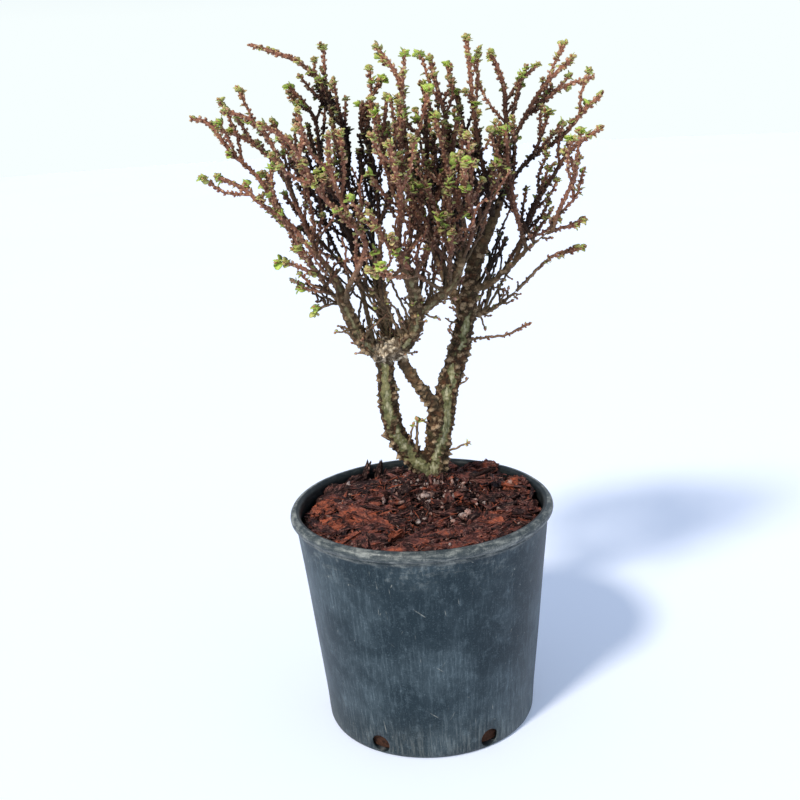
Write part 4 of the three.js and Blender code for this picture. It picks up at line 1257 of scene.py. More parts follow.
def smooth_strips(points, angle, number, knot, foot):
    """How smooth the bark is at each point, from 0 to 1, and how far it is turned away from its strip.

    A strip runs up the front and one up the back of each trunk, where the angle about the axis is near its
    own heading, which wanders with height. The knot has none, and the foot has patches.
    """
    z = points[:, 2]
    wander = 0.42 * np.exp(-((z - 128) / 9) ** 2) - 0.25 * np.exp(-((z - 109) / 7) ** 2)
    heading = -1.6 + np.where(number == RIGHT_TRUNK, wander, 0) + wobble(points * (0, 0, 1.0), 0.3, 24.0, 21)
    away = np.minimum(turned_away(angle, heading), turned_away(angle - heading, 2.9) + 0.15)
    away = away + wobble(points, 0.75, 2.2, 22) + wobble(points, 0.6, 0.9, 26)
    half_width = np.select([number == LEFT_TRUNK, number == RIGHT_TRUNK], [0.78, 0.54], 0.5)
    striped = np.where(number < MIDDLE_LIMB, 1.0, 0.6) * np.isin(number, STRIPED_LIMBS)
    broken = np.where(number == LEFT_TRUNK, 0.0, 0.12)
    striped = striped * ease(0.04, 0.2, smooth_noise(points, 5.0, 27) - broken)
    striped = striped * np.where(number == RIGHT_TRUNK, 1 - ease(168, 180, z), 1.0)
    strip = striped * (1 - ease(half_width - 0.36, half_width, away)) * (1 - knot)
    return np.maximum(strip, 0.5 * foot * ease(0.42, 0.7, smooth_noise(points, 3.0, 23))), away


def corked(points, normals, tree):
    """Cork on the plain wood: domed warts push the surface out along its normal, but for the smooth strips.

    The height of a wart falls from its middle as a cone that is raised to the power of 1.25. A thin limb
    scales the cork down. Gives the moved points and the values that the finish reads.
    """
    sizes = bpy.context.scene.bonsai_sizes
    axes, directions, radii, numbers = limb_axes(tree)
    at = nearest_axis(points, axes, radii)
    direction, plain, number = directions[at], radii[at], numbers[at]
    out = points - axes[at]
    out = unit(out - direction * (out * direction).sum(axis=1, keepdims=True))
    side, face = square_to(direction)
    angle = np.arctan2((out * face).sum(axis=1), (out * side).sum(axis=1))
    knot, foot = in_knot(points), 1 - ease(99, 109, points[:, 2])
    strip, away = smooth_strips(points, angle, number, knot, foot)
    gap, wart = warts(points * (1, 1, 1.12), sizes.wart_pitch / MM, 31)
    dome = np.clip(1 - gap / 0.74, 0, 1) ** 1.25 * 1.5 * (0.3 + 0.7 * wart) * (wart > 0.1)
    fine_gap, _ = warts(points, 0.85, 41)
    fine = np.clip(1 - fine_gap / 0.75, 0, 1)
    tall = sizes.cork_height / MM * np.minimum(1, (plain + 0.7) / 4) * (1 - 0.3 * foot)
    tall = tall * np.where(number == MIDDLE_LIMB, 1.3, 1.0)
    push = tall * (0.1 + 0.9 * dome) * (1 - strip)
    push += 0.6 * fine * (1 - 0.75 * strip) * np.minimum(1, 0.4 + plain / 4)
    push += wobble(points, 0.3, 0.8, 24) + wobble(points, 0.4, 5.0, 28)
    push += strip * wobble(points * (1, 1, 0.35), 0.5, 1.5, 25, middle=0.6)
    push += knot * (wobble(points, 2.2, 3.4, 30, middle=0.62) + wobble(points, 1.6, 1.6, 32))
    values = {"cork": np.clip(0.75 * dome + 0.25 * fine, 0, 1) * (1 - strip), "strip": strip,
              "pale": strip * (1 - ease(0.02, 0.3, away)), "burl": knot, "foot": foot,
              "thin": 1 - ease(1.2, 3.2, plain), "wart": wart}
    return points + normals * push[:, None], values


def wood_piece(tree, finishes):
    """Tubes, flare and burls fused by a voxel remesh, then corked."""
    shapes = [flare_shape()]
    shapes += [burl_shape(centre, 0.88 * np.array(half), lean) for centre, half, lean in BURLS]
    for name, ends, curve in tree.limbs:
        path, marks = curve.even(1.2)
        shapes.append(tube(path, limb_radii(name, ends, marks / marks[-1]), 14))
    piece = make_piece("corky_wood", joined(shapes), finishes, ["trunk_and_limbs"])
    remesh = piece.modifiers.new("fuse", "REMESH")
    remesh.mode = "VOXEL"
    remesh.voxel_size = 0.4 * MM
    fillet = piece.modifiers.new("fillet", "SMOOTH")
    fillet.factor = 0.5
    fillet.iterations = 22
    mesh = applied(piece)
    count = len(mesh.vertices)
    points, normals = np.zeros(count * 3), np.zeros(count * 3)
    mesh.vertices.foreach_get("co", points)
    mesh.vertices.foreach_get("normal", normals)
    points, values = corked(points.reshape(-1, 3) / MM, normals.reshape(-1, 3), tree)
    mesh.vertices.foreach_set("co", (points * MM).ravel())
    store_values(mesh, values)
    mesh.polygons.foreach_set("use_smooth", np.ones(len(mesh.polygons), bool))
    mesh.update()
    return piece


# Shoots

def pod(sides):
    """An egg of unit length along Z: its radius is half of sin(pi u^0.8)^0.7, with u from foot to tip."""
    u = np.array([0, 0.16, 0.5, 0.84, 1])[:, None]
    radius = 0.5 * np.clip(np.sin(math.pi * u ** 0.8), 0, 1) ** 0.7
    egg = turned(np.hstack([radius, u]), sides)
    egg.values["reach"] = egg.vertices[:, 2].copy()
    return egg


def blade(rows):
    """A thin closed leaf of unit length along Z and unit width along X.

    Half width is sin(pi u^0.72)^0.5 / 2, the halves are folded up by 0.3 of that, and the tip curls by u^2.
    """
    u = np.linspace(0.09, 0.93, rows)[:, None]
    half = 0.5 * np.sin(math.pi * u ** 0.72) ** 0.5
    curl, rise, thick, none = -0.16 * u ** 2, 0.3 * half, 0.035, 0 * half
    x = np.hstack([half, none, -half, none])
    y = np.hstack([rise, none + thick, rise, none - thick]) + curl
    ring = np.stack([x, y, np.broadcast_to(u, x.shape)], axis=-1).reshape(-1, 3)
    vertices = np.vstack([ring, [[0, 0, 0]], [[0, -0.15, 0.98]]])
    return Shape(vertices, closed_faces(rows, 4), reach=vertices[:, 2])


def old_wood(points):
    """From 1 at the foot of the crown to 0 some way above it."""
    return 1 - ease(184, 216, points[:, 2])


Stem = namedtuple("Stem", "path marks radii side face")


class Sprig:
    """What grows on one spray: stems as tubes, and buds and leaves as copies that are placed at the end."""

    BARK, BUD, LEAF = range(3)

    def __init__(self, seed, tree):
        self.draw = np.random.default_rng(seed)
        self.tree = tree
        self.stems, self.buds, self.leaves = [], [], []
        sizes = bpy.context.scene.bonsai_sizes
        self.bud_pitch, self.bud_length = sizes.bud_pitch / MM, sizes.bud_length / MM
        self.leaf_length, self.spur_pitch = sizes.leaf_length / MM, sizes.spur_pitch / MM

    def stem(self, curve, foot, tip, age):
        """A tube along a curve, moved off it by a short and a long sine, whose radius falls from foot to tip.

        The radius swells at each node by a sine of the length.
        """
        path, marks = curve.even(STEM_STEP)

        def wave(size, length, phase=0.0):
            return size * np.sin(marks * FULL_TURN / length + phase)

        share = marks / marks[-1]
        side, face = square_to(unit(np.gradient(path, axis=0)))
        held = np.sin(math.pi * share)[:, None]
        zigzag = wave(0.22, 4.3, self.draw.random() * 6)[:, None] * held
        bend = wave(0.6, 12, self.draw.random() * 6)[:, None] * held
        path = np.clip(path + side * zigzag + face * bend, BOX_LOW + 1, BOX_HIGH - 1)
        radii = (foot + (tip - foot) * share) * (1 + wave(0.13, 2.2))
        years = (age[0] + (age[1] - age[0]) * share) * (1 - 0.7 * old_wood(path))
        sides = 6 if foot > THICK_STEM else 5
        # The shade value is painted shade, by which the finishes darken the stem.
        self.stems.append(tube(path, radii, sides, self.BARK, age=years, shade=self.tree.painted_crown_shade(path)))
        return Stem(path, marks, radii, side, face)

    def clothe(self, stem, age, dense=1.0, bare=0.0):
        """Buds on a slow spiral, fewer and smaller on the old wood at the foot of the crown.

        Gives the place, the direction along the stem, the direction outwards and the youth of every seat.
        """
        draw, (path, marks, radii, side, face) = self.draw, stem
        length = marks[-1]
        count = max(2, int(length * (1 - bare) / self.bud_pitch * BUDS_A_PITCH * dense))
        at = bare * length + (np.arange(count) + 0.5 * draw.random(count)) / count * (1 - bare) * length
        rank = math.pi * np.arange(count) * BUD_TURN + 0.02 * at
        rank = rank + draw.normal(0, 0.35, count) + draw.random() * 6
        index = np.interp(at, marks, np.arange(len(marks)))
        low = np.minimum(index.astype(int), len(marks) - 2)
        part = (index - low)[:, None]
        centre = path[low] * (1 - part) + path[low + 1] * part
        along = unit(path[low + 1] - path[low])
        outward = swung(side[low], face[low], rank[:, None])
        lean = draw.normal(0.62, 0.16, count)[:, None]
        directions = unit(swung(along, outward, lean))
        young = np.interp(at, marks, np.linspace(*age, len(marks)))
        lengths = self.bud_length * draw.uniform(0.66, 1.2, count) * (0.72 + 0.28 * young)
        old = old_wood(centre)
        kept = draw.random(count) >= 0.62 * old
        seats = centre + outward * radii[low][:, None] * BUD_SEAT
        self.buds.append((seats[kept], directions[kept], lengths[kept], (young * (1 - 0.6 * old))[kept]))
        return centre, along, outward, young

    def rosette(self, stem, leaves, buds, size, fresh):
        """Leaves and buds that open round the tip of a stem, each turned by the golden angle."""
        draw, total = self.draw, leaves + buds
        centre = stem.path[-1]
        along = unit(centre - stem.path[-2])
        turn = np.arange(total) * GOLDEN_ANGLE + draw.random() * 6
        outward = swung(*square_to(along[None]), turn[:, None])
        lean = np.linspace(0.25, 1.15, total)[:, None] + draw.normal(0, 0.12, (total, 1))
        directions = unit(swung(along, outward, lean))
        seats = centre - along * np.linspace(0, 1.2, total)[:, None]
        lengths = self.bud_length * draw.uniform(0.8, 1.25, buds)
        self.buds.append((seats[:buds], directions[:buds], lengths, np.ones(buds)))
        if leaves:
            lengths = size * (1.3 if fresh > 0.9 else 1.0) * draw.uniform(0.7, 1.15, leaves)
            fresh = np.clip(fresh + draw.normal(0, 0.2, leaves), 0, 1)
            self.leaves.append((seats[buds:], directions[buds:], lengths, fresh))

    def spur(self, centre, along, outward, reach):
        """A short leafy side shoot."""
        draw = self.draw
        direction = unit(along * 0.72 + outward * 0.75 + WORLD_Z * 0.2)
        middle = centre + direction * reach * 0.5 + along * 0.05
        route = [centre, middle, centre + unit(direction + along * 0.4) * reach]
        stem = self.stem(Curve(route), *SPUR_RADII, (0.8, 1.0))
        self.clothe(stem, (0.85, 1.0))
        fresh = 0.3 + 0.7 * (draw.random() < 0.22)
        self.rosette(stem, int(draw.integers(3, 7)), 2, self.leaf_length, fresh)

    def grow(self, shoot, age):
        """A whole shoot: stem, buds, spurs on its outer part, a few loose leaves and a tip."""
        draw, leafy = self.draw, shoot.spray != BARE_SPRAY
        stem = self.stem(shoot.curve, 0.76 * shoot.radius, 0.72 * min(shoot.radius, 1.1), age)
        seats = self.clothe(stem, age, bare=0.0 if shoot.twig else 0.1)
        if not shoot.twig:
            self.grow_spurs(seats, stem.marks[-1], leafy)
            self.loose_leaves(seats, leafy)
        fresh = 0.35 + 0.65 * (draw.random() < 0.3)
        leaves = int(draw.integers(5, 10)) if leafy else 0
        self.rosette(stem, leaves, 3, self.leaf_length, fresh)

    def grow_spurs(self, seats, length, leafy):
        """Spurs at random seats, the likelier the nearer the tip."""
        draw, (centre, along, outward, _) = self.draw, seats
        count = int(length * 0.72 / self.spur_pitch)
        for k in range(count):
            share = 0.3 + 0.68 * (k + draw.random()) / count
            place = min(int(share * len(centre)), len(centre) - 1)
            if draw.random() < 0.25 + 0.75 * share and leafy:
                self.spur(centre[place], along[place], outward[place], draw.uniform(1.8, 4.6))

    def loose_leaves(self, seats, leafy):
        """Single leaves at random seats on young wood."""
        draw, (centre, along, outward, young) = self.draw, seats
        loose = draw.random(len(centre)) < 0.16 * ease(0.35, 0.8, young) * leafy
        total = int(loose.sum())
        if total:
            directions = unit(along[loose] * 0.5 + outward[loose] + draw.normal(0, 0.25, (total, 3)))
            lengths = self.leaf_length * draw.uniform(0.6, 1.0, total)
            seats = centre[loose] + outward[loose] * 0.5
            self.leaves.append((seats, directions, lengths, draw.random(total) * 0.6))

    def shape(self):
        """All of it as one shape. Buds and leaves that would reach out of the box are left out."""
        buds = self.copies(pod(5), self.buds, self.BUD, (0.78, 0.78, 1.0), math.pi)
        leaves = self.copies(blade(4), self.leaves, self.LEAF, (1.16, 1.0, 1.0), 0.6, 0.7)
        return joined(self.stems + buds + leaves)

    def copies(self, template, items, finish, form, sway, thinned=0.0):
        """The template at every item that lies in the box, less a share where the crown is crowded."""
        if not items:
            return []
        centres, directions, lengths, own = (np.concatenate(column) for column in zip(*items))
        tips = centres + directions * lengths[:, None]
        margin = 0.56 * form[0] * lengths[:, None]
        low, high = np.minimum(centres, tips) - margin, np.maximum(centres, tips) + margin
        # Painted shade, by which the finishes darken buds and leaves; leaves are also thinned by it.
        shade = self.tree.painted_crown_shade(centres)
        kept = np.all((low > BOX_LOW) & (high < BOX_HIGH), axis=1)
        kept &= self.draw.random(len(centres)) >= thinned * shade
        rows = (centres, directions, lengths, own, shade)
        centres, directions, lengths, own, shade = (row[kept] for row in rows)
        count = len(centres)
        frames = frames_towards(directions, sway * (2 * self.draw.random(count) - 1))
        scales = lengths[:, None] * np.array(form) * (0.88 + 0.24 * self.draw.random((count, 3)))
        local, faces = template.vertices[None] * scales[:, None], [face for face, _ in template.faces]
        return [copied(local, faces, centres, frames, finish, age=own, tint=self.draw.random(count),
                       shade=shade, reach=np.tile(template.values["reach"], count))]


def side_shoots(tree):
    """Slender forks along the longer shoots, kept a little clear of everything else."""
    draw = np.random.default_rng(5)
    found = []
    for parent in tree.shoots:
        length = parent.curve.length()
        if parent.twig or length < LEAST_FORKED or parent.spray == BARE_SPRAY:
            continue
        for k in range(int(length / FORK_SPACING)):
            t = 0.22 + 0.6 * draw.random()
            start, along = parent.curve.at(t)[0], parent.curve.tangent(t)[0]
            reach = min(8 + 22 * draw.random(), 0.9 * length * (1 - t) + 4)
            for attempt in range(6):
                outward = swung(*square_to(along), draw.random() * FULL_TURN)
                tip = start + along * reach * 0.86 + outward * reach * 0.46 + WORLD_Z * 0.1 * reach
                middle = start + along * reach * 0.4 + outward * reach * 0.3
                route = np.array([start, middle, tip])
                inside = np.all(tip > BOX_LOW + 3) and np.all(tip < BOX_HIGH - 3)
                if inside and tree.is_clear(route[1:], 0.45, tree.owner(parent.spray)):
                    found.append(Shoot(parent.spray, 0.8, route))
                    tree.take(route, 0.8, tree.owner(parent.spray))
                    break
    return found


def crooked(draw, start, end, sway):
    """Five points from start to end, each moved by a random step times a sine that is 0 at both ends."""
    share = np.linspace(0, 1, 5)[:, None]
    steps = draw.normal(0, sway, (5, 3)) * np.sin(math.pi * share)
    return start + (end - start) * share + steps


def inner_twigs(tree):
    """Thin dark twigs that rise from the limbs inside the crown, fanned out by the golden angle."""
    draw = np.random.default_rng(6)
    seats = [p for _, _, curve in tree.limbs for p in curve.at(np.linspace(0.1, 1, 16))
             if 166 < p[2] < 206 and -26 < p[0] < 34]
    middle = np.array([5, 18, 170])
    found = []
    for k in range(INNER_TWIGS):
        seat = seats[int(draw.integers(len(seats)))]
        turn, lean = k * GOLDEN_ANGLE, 0.12 + 0.5 * draw.random()
        reach = 20 + 30 * draw.random()
        across = math.sin(lean)
        way = unit([across * math.cos(turn), 0.8 * across * math.sin(turn), math.cos(lean)])
        outward = unit((seat - middle) * (1, 1, 0.4) + (0, 0, 6))
        route = crooked(draw, seat, seat + unit(way + 0.5 * outward) * reach, 1.3)
        found += tree.claim(route, 0.2, 0.6)
    return found


def front_twigs(tree):
    """Thin crooked twigs that leave the limbs and the feet of the shoots and rise across their front."""
    draw = np.random.default_rng(9)
    curves = [curve for _, _, curve in tree.limbs] + [shoot.curve for shoot in tree.shoots if not shoot.twig]
    seats = [p for curve in curves for p in curve.at(np.linspace(0.05, 0.6, 9))
             if 166 < p[2] < 226 and -40 < p[0] < 34 and p[1] < 14]
    found = []
    for k in range(FRONT_TWIGS):
        seat = seats[int(draw.integers(len(seats)))]
        reach = 9 + 17 * draw.random()
        way = unit([draw.normal(0, 0.5), -0.15 - 0.45 * draw.random(), 0.9])
        found += tree.claim(crooked(draw, seat, seat + way * reach, 1.2), 0.1, 0.45)
    return found


def limb_spurs(tree, count):
    """Routes of short spurs on the limbs above the trunks, each with whether it stands on the knot.

    Two in five do. They are longer and rise more steeply.
    """
    draw = np.random.default_rng(8)
    seats = []
    for name, ends, curve in tree.limbs:
        share = np.linspace(0, 1, 40)
        radii = limb_radii(name, ends, share) + 0.6
        seats += [seat for seat in zip(curve.at(share), curve.tangent(share), radii) if seat[0][2] > 158]
    near = [seat for seat in seats if np.linalg.norm(seat[0] - np.array(KNOT_CENTRE)) < KNOT_REACH]
    routes = []
    for k in range(count):
        on_knot = k % 5 < 2
        pool, longest, rise, stray = (near, 10.0, 1.1, 0.9) if on_knot else (seats, 5.0, 0.25, 0.4)
        seat, along, radius = pool[int(draw.integers(len(pool)))]
        outward = swung(*square_to(along), draw.random() * FULL_TURN)
        reach = radius + 2.0 + longest * draw.random() ** 1.5
        way = unit(outward + along * draw.uniform(0.1, 0.8) + WORLD_Z * rise)
        tip = seat + way * reach + draw.normal(0, stray, 3)
        route = [seat + outward * radius * 0.4, (seat + tip) / 2 + outward * 0.3 * radius, tip]
        routes.append((on_knot, route))
    return routes


# Little shoots and stubs on the trunks: the radius at the foot, whether it has leaves, and the route.
SPROUTS = [
    (0.6, True, [(-4.6, 17, 117.5), (-3.2, 16, 120.4), (-2.6, 16, 123.4), (-1.5, 15, 127.5)]),
    (0.75, True, [(-0.6, 18.5, 113.5), (-0.2, 18, 117.5), (0.1, 18, 123.2), (0.6, 18, 128.7)]),
    (0.6, True, [(11.5, 19, 112.6), (14.4, 19, 113.6), (18.9, 18, 115.5), (22.4, 17, 117.1)]),
    (0.7, False, [(-10.5, 17.5, 120.5), (-12.9, 17, 121.5), (-15.8, 16, 123.4)]),
    (0.5, False, [(20, 22.5, 170.4), (17.5, 22, 171.3), (14.9, 21, 173.2)]),
    (0.5, False, [(18, 21.5, 155.9), (15.8, 20, 155.4), (13.6, 20, 154.4)]),
    (0.5, False, [(18, 22, 142.5), (21, 20, 143.7), (23.9, 19, 146.5)]),
    (0.7, True, [(8, 19.5, 124.5), (5.6, 18, 126.3), (3, 17, 128.7)]),
    (0.5, False, [(8, 24, 118), (10, 28, 120), (11, 31, 123)]),
    (0.6, True, [(-9, 20, 132), (-8, 25, 136), (-8, 28, 141)]),
    (0.5, False, [(20, 27, 160), (19, 31, 163), (17, 34, 167)]),
]


# Finishes. Lengths are in metres here, as Object coordinates are.

def pot_finish(name, colours):
    """Dark plastic: a worn rim, a streaked film on the wall, short scratches, dust low down, and painted
    shade on the inner wall.
    """
    f = Finish(name, specular=0.25)
    x, y, height = (f.part(f.place, axis) for axis in range(3))
    cloud = f.noise(36, 4)
    patch = f.noise(230, 6, 0.75)
    speck = f.noise(1500, 3, 0.75)
    streak = f.noise(900, 4, 0.75, f.squeezed(0.05))
    bands = f.noise(130, 5, 0.7, f.squeezed(6))
    taper = (POT_NECK_RADIUS - POT_FOOT_RADIUS) / (POT_HEIGHT - RIM_DEPTH)
    proud = (x * x + y * y) ** 0.5 - height * taper - POT_FOOT_RADIUS * MM
    inside = 1 - proud.ease(-1.4 * MM, -0.8 * MM)
    rim = height.ease(0.0905, 0.0932)
    worn = rim * (0.16 + 0.5 * (bands * 0.6 + patch * 0.4).ease(0.42, 0.66) + 0.2 * speck.ease(0.5, 0.7))
    wall = 1 - rim
    rubbed = wall * height.ease(0.07, 0.0925) * (bands * 0.4 + patch * 0.6).ease(0.47, 0.6)
    rubbed = rubbed * cloud.ease(0.3, 0.55)
    film = wall * (0.24 * cloud.ease(0.4, 0.68) * (0.4 + 0.6 * streak.ease(0.35, 0.65))
                   + 0.12 * streak.ease(0.52, 0.7) + 0.16 * patch.ease(0.5, 0.72)
                   + 0.2 * speck.ease(0.56, 0.68))
    low = wall * (1 - height.ease(0.0, 0.03)) * (0.1 + 0.3 * streak.ease(0.4, 0.65))
    scratch = 0
    for lean, slim, pitch in ((0.0, 0.03, 420), (0.12, 0.045, 330), (-0.5, 0.07, 300), (0.9, 0.06, 260)):
        line = f.cells(pitch, f.squeezed(slim, f.leant(lean)))
        scratch = scratch + (1 - line.ease(0.03, 0.09))
    scratch = wall * scratch * patch.ease(0.36, 0.6) * 0.55
    dust = (1 - inside) * (rubbed * 0.3 + low * 0.7 + scratch)
    f.colour(f.layers(
        colours.pot,
        ((1 - inside) * film, colours.pot_film),
        # Painted shade: the inner wall darkened nearly to black.
        (inside * 0.75, tone(7, 13, 15)),
        ((dust + worn * (1 - 0.75 * inside)).ease(-0.02, 1.02), colours.pot_dust)))
    f.roughness(0.4 + 0.4 * dust + 0.15 * speck)
    f.bump(patch * 0.5 + speck * 0.3 + streak * 0.2, 0.00022, 0.5)
    return f


def soil_finish(name, colours):
    """Dark damp crumbly mix."""
    f = Finish(name, roughness=0.95, specular=0.2)
    lump = f.noise(700, 5, 0.7)
    crumb = f.cells(420)
    f.colour(f.layers(
        tone(18, 12, 10),
        (lump.ease(0.35, 0.65), tone(62, 40, 30)),
        (crumb.ease(0.0, 0.5) * 0.4, tone(88, 56, 40))))
    f.bump(lump + crumb, 0.0009, 0.9)
    return f


def mulch_finish(name, colours):
    """Bark from dark purple-brown to orange by each chip's tint, with fibres along its grain."""
    f = Finish(name, roughness=0.72, specular=0.2)
    tint = f.stored("tint")
    grain = f.stored("grain", "Vector")
    fibre = f.noise(1.5, 4, 0.65, grain)
    fine = f.noise(5.0, 3, 0.6, grain)
    blotch = f.noise(260, 3)
    level = tint + (blotch - 0.5) * 1.6 + (fibre - 0.5) * 1.5 - 0.06
    f.colour(f.layers(
        colours.mulch_dark,
        (level.ease(0.05, 0.55), colours.mulch),
        (level.ease(0.5, 1.1), colours.mulch_bright),
        ((fine * 0.5 + fibre * 0.5).ease(0.52, 0.67) * 0.68, tone(180, 144, 130)),
        ((1 - (fine * 0.6 + blotch * 0.4).ease(0.39, 0.56)) * 0.85, tone(22, 7, 5))))
    f.roughness(0.55 + 0.35 * fibre)
    f.bump(fibre * 0.7 + fine * 0.3, 0.0006, 0.9)
    return f


def grain_finish(name, colours):
    """Pale mineral grains, pinkish or grey, stained in their pits."""
    f = Finish(name, roughness=0.85, specular=0.2)
    pits = f.noise(1500, 4, 0.7)
    stain = f.noise(420, 3)
    f.colour(f.layers(
        colours.grain,
        (f.stored("tint"), tone(190, 146, 130)),
        ((1 - stain.ease(0.4, 0.56)) * 0.75, tone(104, 74, 62)),
        ((1 - pits.ease(0.36, 0.56)) * 0.8, tone(78, 50, 40))))
    f.bump(pits, 0.0004, 0.8)
    return f


def bark_finish(name, colours):
    """Corky bark, with painted shade between the warts and tan crests that are partly worn cork and partly
    painted highlight, and smooth olive strips.
    """
    f = Finish(name, roughness=0.82, specular=0.16)
    cork, strip, pale = (f.stored(value) for value in ("cork", "strip", "pale"))
    burl, foot, thin, wart = (f.stored(value) for value in ("burl", "foot", "thin", "wart"))
    fine = f.noise(1400, 4, 0.7)
    blotch = f.noise(330, 4, 0.6)
    speck = f.noise(620, 4, 0.7)
    streak = f.noise(900, 4, 0.65, f.squeezed(0.22))
    # Crests: partly worn cork, partly a painted highlight on the tops of the warts.
    crest = (cork * 0.9 + (fine - 0.5) * 1.6 + (wart - 0.5) * 0.5).ease(0.18, 0.9)
    gnarl = f.layers(
        tone(124, 104, 80),
        ((blotch * 0.5 + fine * 0.5).ease(0.41, 0.56), tone(228, 212, 184)),
        # Dark in the knot where the cork is low: painted shade in its pits, varied by random blotches.
        ((1 - (cork + (blotch - 0.5) * 1.4).ease(0.1, 0.45)) * 0.75, tone(58, 44, 33)))
    smooth = f.layers(
        tone(84, 86, 54),
        (blotch.ease(0.35, 0.65), colours.strip),
        (pale * (0.05 + 0.85 * streak.ease(0.4, 0.62)) * 0.85, colours.strip_pale),
        ((streak * 0.5 + fine * 0.5).ease(0.53, 0.66) * 0.7, tone(70, 60, 42)))
    f.colour(f.layers(
        colours.cork,
        (crest, colours.cork_crest_wear_and_highlight),
        # Painted shade: nearly black between the warts, where the cork is low.
        ((1 - (cork + (fine - 0.5) * 0.9).ease(0.0, 0.34)) * 0.85, tone(32, 24, 17)),
        (blotch.ease(0.52, 0.7) * 0.45, tone(108, 64, 40)),
        ((1 - blotch.ease(0.32, 0.48)) * 0.5, tone(84, 82, 54)),
        (burl * (0.75 + 0.25 * crest), gnarl),
        ((strip + (fine - 0.5) * 0.6).ease(0.3, 0.7), smooth),
        (foot * (0.4 + 0.5 * blotch.ease(0.35, 0.6)), tone(72, 68, 52)),
        (foot * speck.ease(0.42, 0.54) * 0.9, tone(34, 26, 20)),
        (thin * 0.4, tone(126, 104, 78))))
    f.roughness(0.68 + 0.25 * fine)
    f.bump(fine * 0.6 + streak * 0.4, 0.0005, 0.8)
    return f


def shoot_finish(name, colours):
    """Mauve-brown bark, greyer and more olive on old wood, with painted highlights in pale flecks, and
    painted shade that makes it nearly black where the crown is crowded.
    """
    f = Finish(name, roughness=0.75, specular=0.14)
    fine = f.noise(1500, 4, 0.65)
    blotch = f.noise(420, 3)
    f.colour(f.layers(
        tone(128, 110, 82),
        (f.stored("age").ease(0.0, 0.5), colours.shoot),
        # Painted highlights: pale cream flecks.
        (fine.ease(0.5, 0.68) * 0.6, tone(196, 150, 130)),
        ((1 - blotch.ease(0.3, 0.5)) * 0.6, tone(48, 34, 28)),
        # Painted shade: nearly black where the crown is crowded.
        (f.stored("shade") * 0.94, tone(10, 7, 5))))
    f.bump(fine, 0.0004, 0.8)
    return f


def bud_finish(name, colours):
    """Bud scales: mauve at the foot, olive-tan or green towards the tip, by each bud's tint, with painted
    highlights, painted shading in dark flecks, and painted shade where the crown is crowded.
    """
    f = Finish(name, roughness=0.6, specular=0.2)
    age, tint, reach = (f.stored(value) for value in ("age", "tint", "reach"))
    fine = f.noise(1300, 3, 0.6)
    tip = f.mix((tint * 0.5 + age * 0.5).ease(0.62, 0.95), colours.bud_tip, tone(158, 164, 84))
    f.colour(f.layers(
        tone(108, 62, 54),
        (tint.ease(0.0, 0.8), colours.bud),
        # Painted highlight: pale cream on the buds of the highest tints.
        (tint.ease(0.7, 0.9) * 0.75, tone(222, 178, 156)),
        ((reach + (fine - 0.5) * 0.5).ease(0.5, 0.95) * (0.25 + 0.6 * age), tip),
        # Painted shading: dark flecks from fine noise.
        ((1 - fine.ease(0.3, 0.5)) * 0.45, tone(58, 35, 30)),
        ((1 - age.ease(0.0, 0.45)) * 0.7, tone(104, 84, 62)),
        # Painted shade: nearly black where the crown is crowded.
        (f.stored("shade") * 0.92, tone(12, 8, 6))))
    f.bump(fine, 0.0003, 0.6)
    return f


def leaf_finish(name, colours):
    """Leaves from bronzed to yellow-green by tint, brighter where they are fresh, with tanned tips, and
    darkened by painted shade where the crown is crowded.
    """
    f = Finish(name, roughness=0.5, specular=0.35, Subsurface_Weight=0.12,
               Subsurface_Radius=(0.0006, 0.0009, 0.0003))
    age, tint, reach = (f.stored(value) for value in ("age", "tint", "reach"))
    fine = f.noise(900, 4, 0.6)
    f.colour(f.layers(
        colours.leaf_bronze,
        (tint.ease(0.0, 0.3), colours.leaf),
        ((age + (fine - 0.5) * 0.4).ease(0.45, 0.95), colours.leaf_young),
        (reach.ease(0.7, 1.0) * (1 - tint) * 0.6, tone(176, 150, 92)),
        ((1 - fine.ease(0.28, 0.5)) * 0.25, tone(104, 104, 54)),
        # Painted shade where the crown is crowded.
        (f.stored("shade") * 0.8, tone(26, 25, 13))))
    f.bump(fine, 0.0002, 0.5)
    return f


MAKERS = {
    "pot_plastic_worn": pot_finish,
    "potting_soil": soil_finish,
    "bark_mulch_fibrous": mulch_finish,
    "pale_grains": grain_finish,
    "corky_bark": bark_finish,
    "shoot_bark": shoot_finish,
    "bud_scales": bud_finish,
    "small_leaves": leaf_finish,
}


@functools.cache
def finish_named(name):
    """The finish of a name, made when it is first wanted."""
    return MAKERS[name](name, bpy.context.scene.bonsai_colours)


def crown_finishes():
    """The finishes of a spray, in the order of Sprig's numbers for bark, buds and leaves."""
    return [finish_named(name) for name in ("shoot_bark", "bud_scales", "small_leaves")]


@functools.cache
def the_tree():
    """The skeleton, grown once."""
    return Tree()


# Operators

class BONSAI_OT_pot(bpy.types.Operator):
    """Turn the pot and cut its drain holes"""

    bl_idname = "bonsai.pot"
    bl_label = "Pot"

    def execute(self, context):
        finish = finish_named("pot_plastic_worn")
        cutter = make_piece("drain_cutter", drain_cutter(), [finish])
        pot = make_piece("nursery_pot", pot_shape(), [finish], ["pot"])
        cut = pot.modifiers.new("drain", "BOOLEAN")
        cut.object = cutter
        cut.solver = "EXACT"
        mesh = applied(pot)
        bpy.data.objects.remove(cutter)
        if len(mesh.vertices) < 1000:
            raise RuntimeError("the pot was lost when its drain holes were cut")
        return {"FINISHED"}


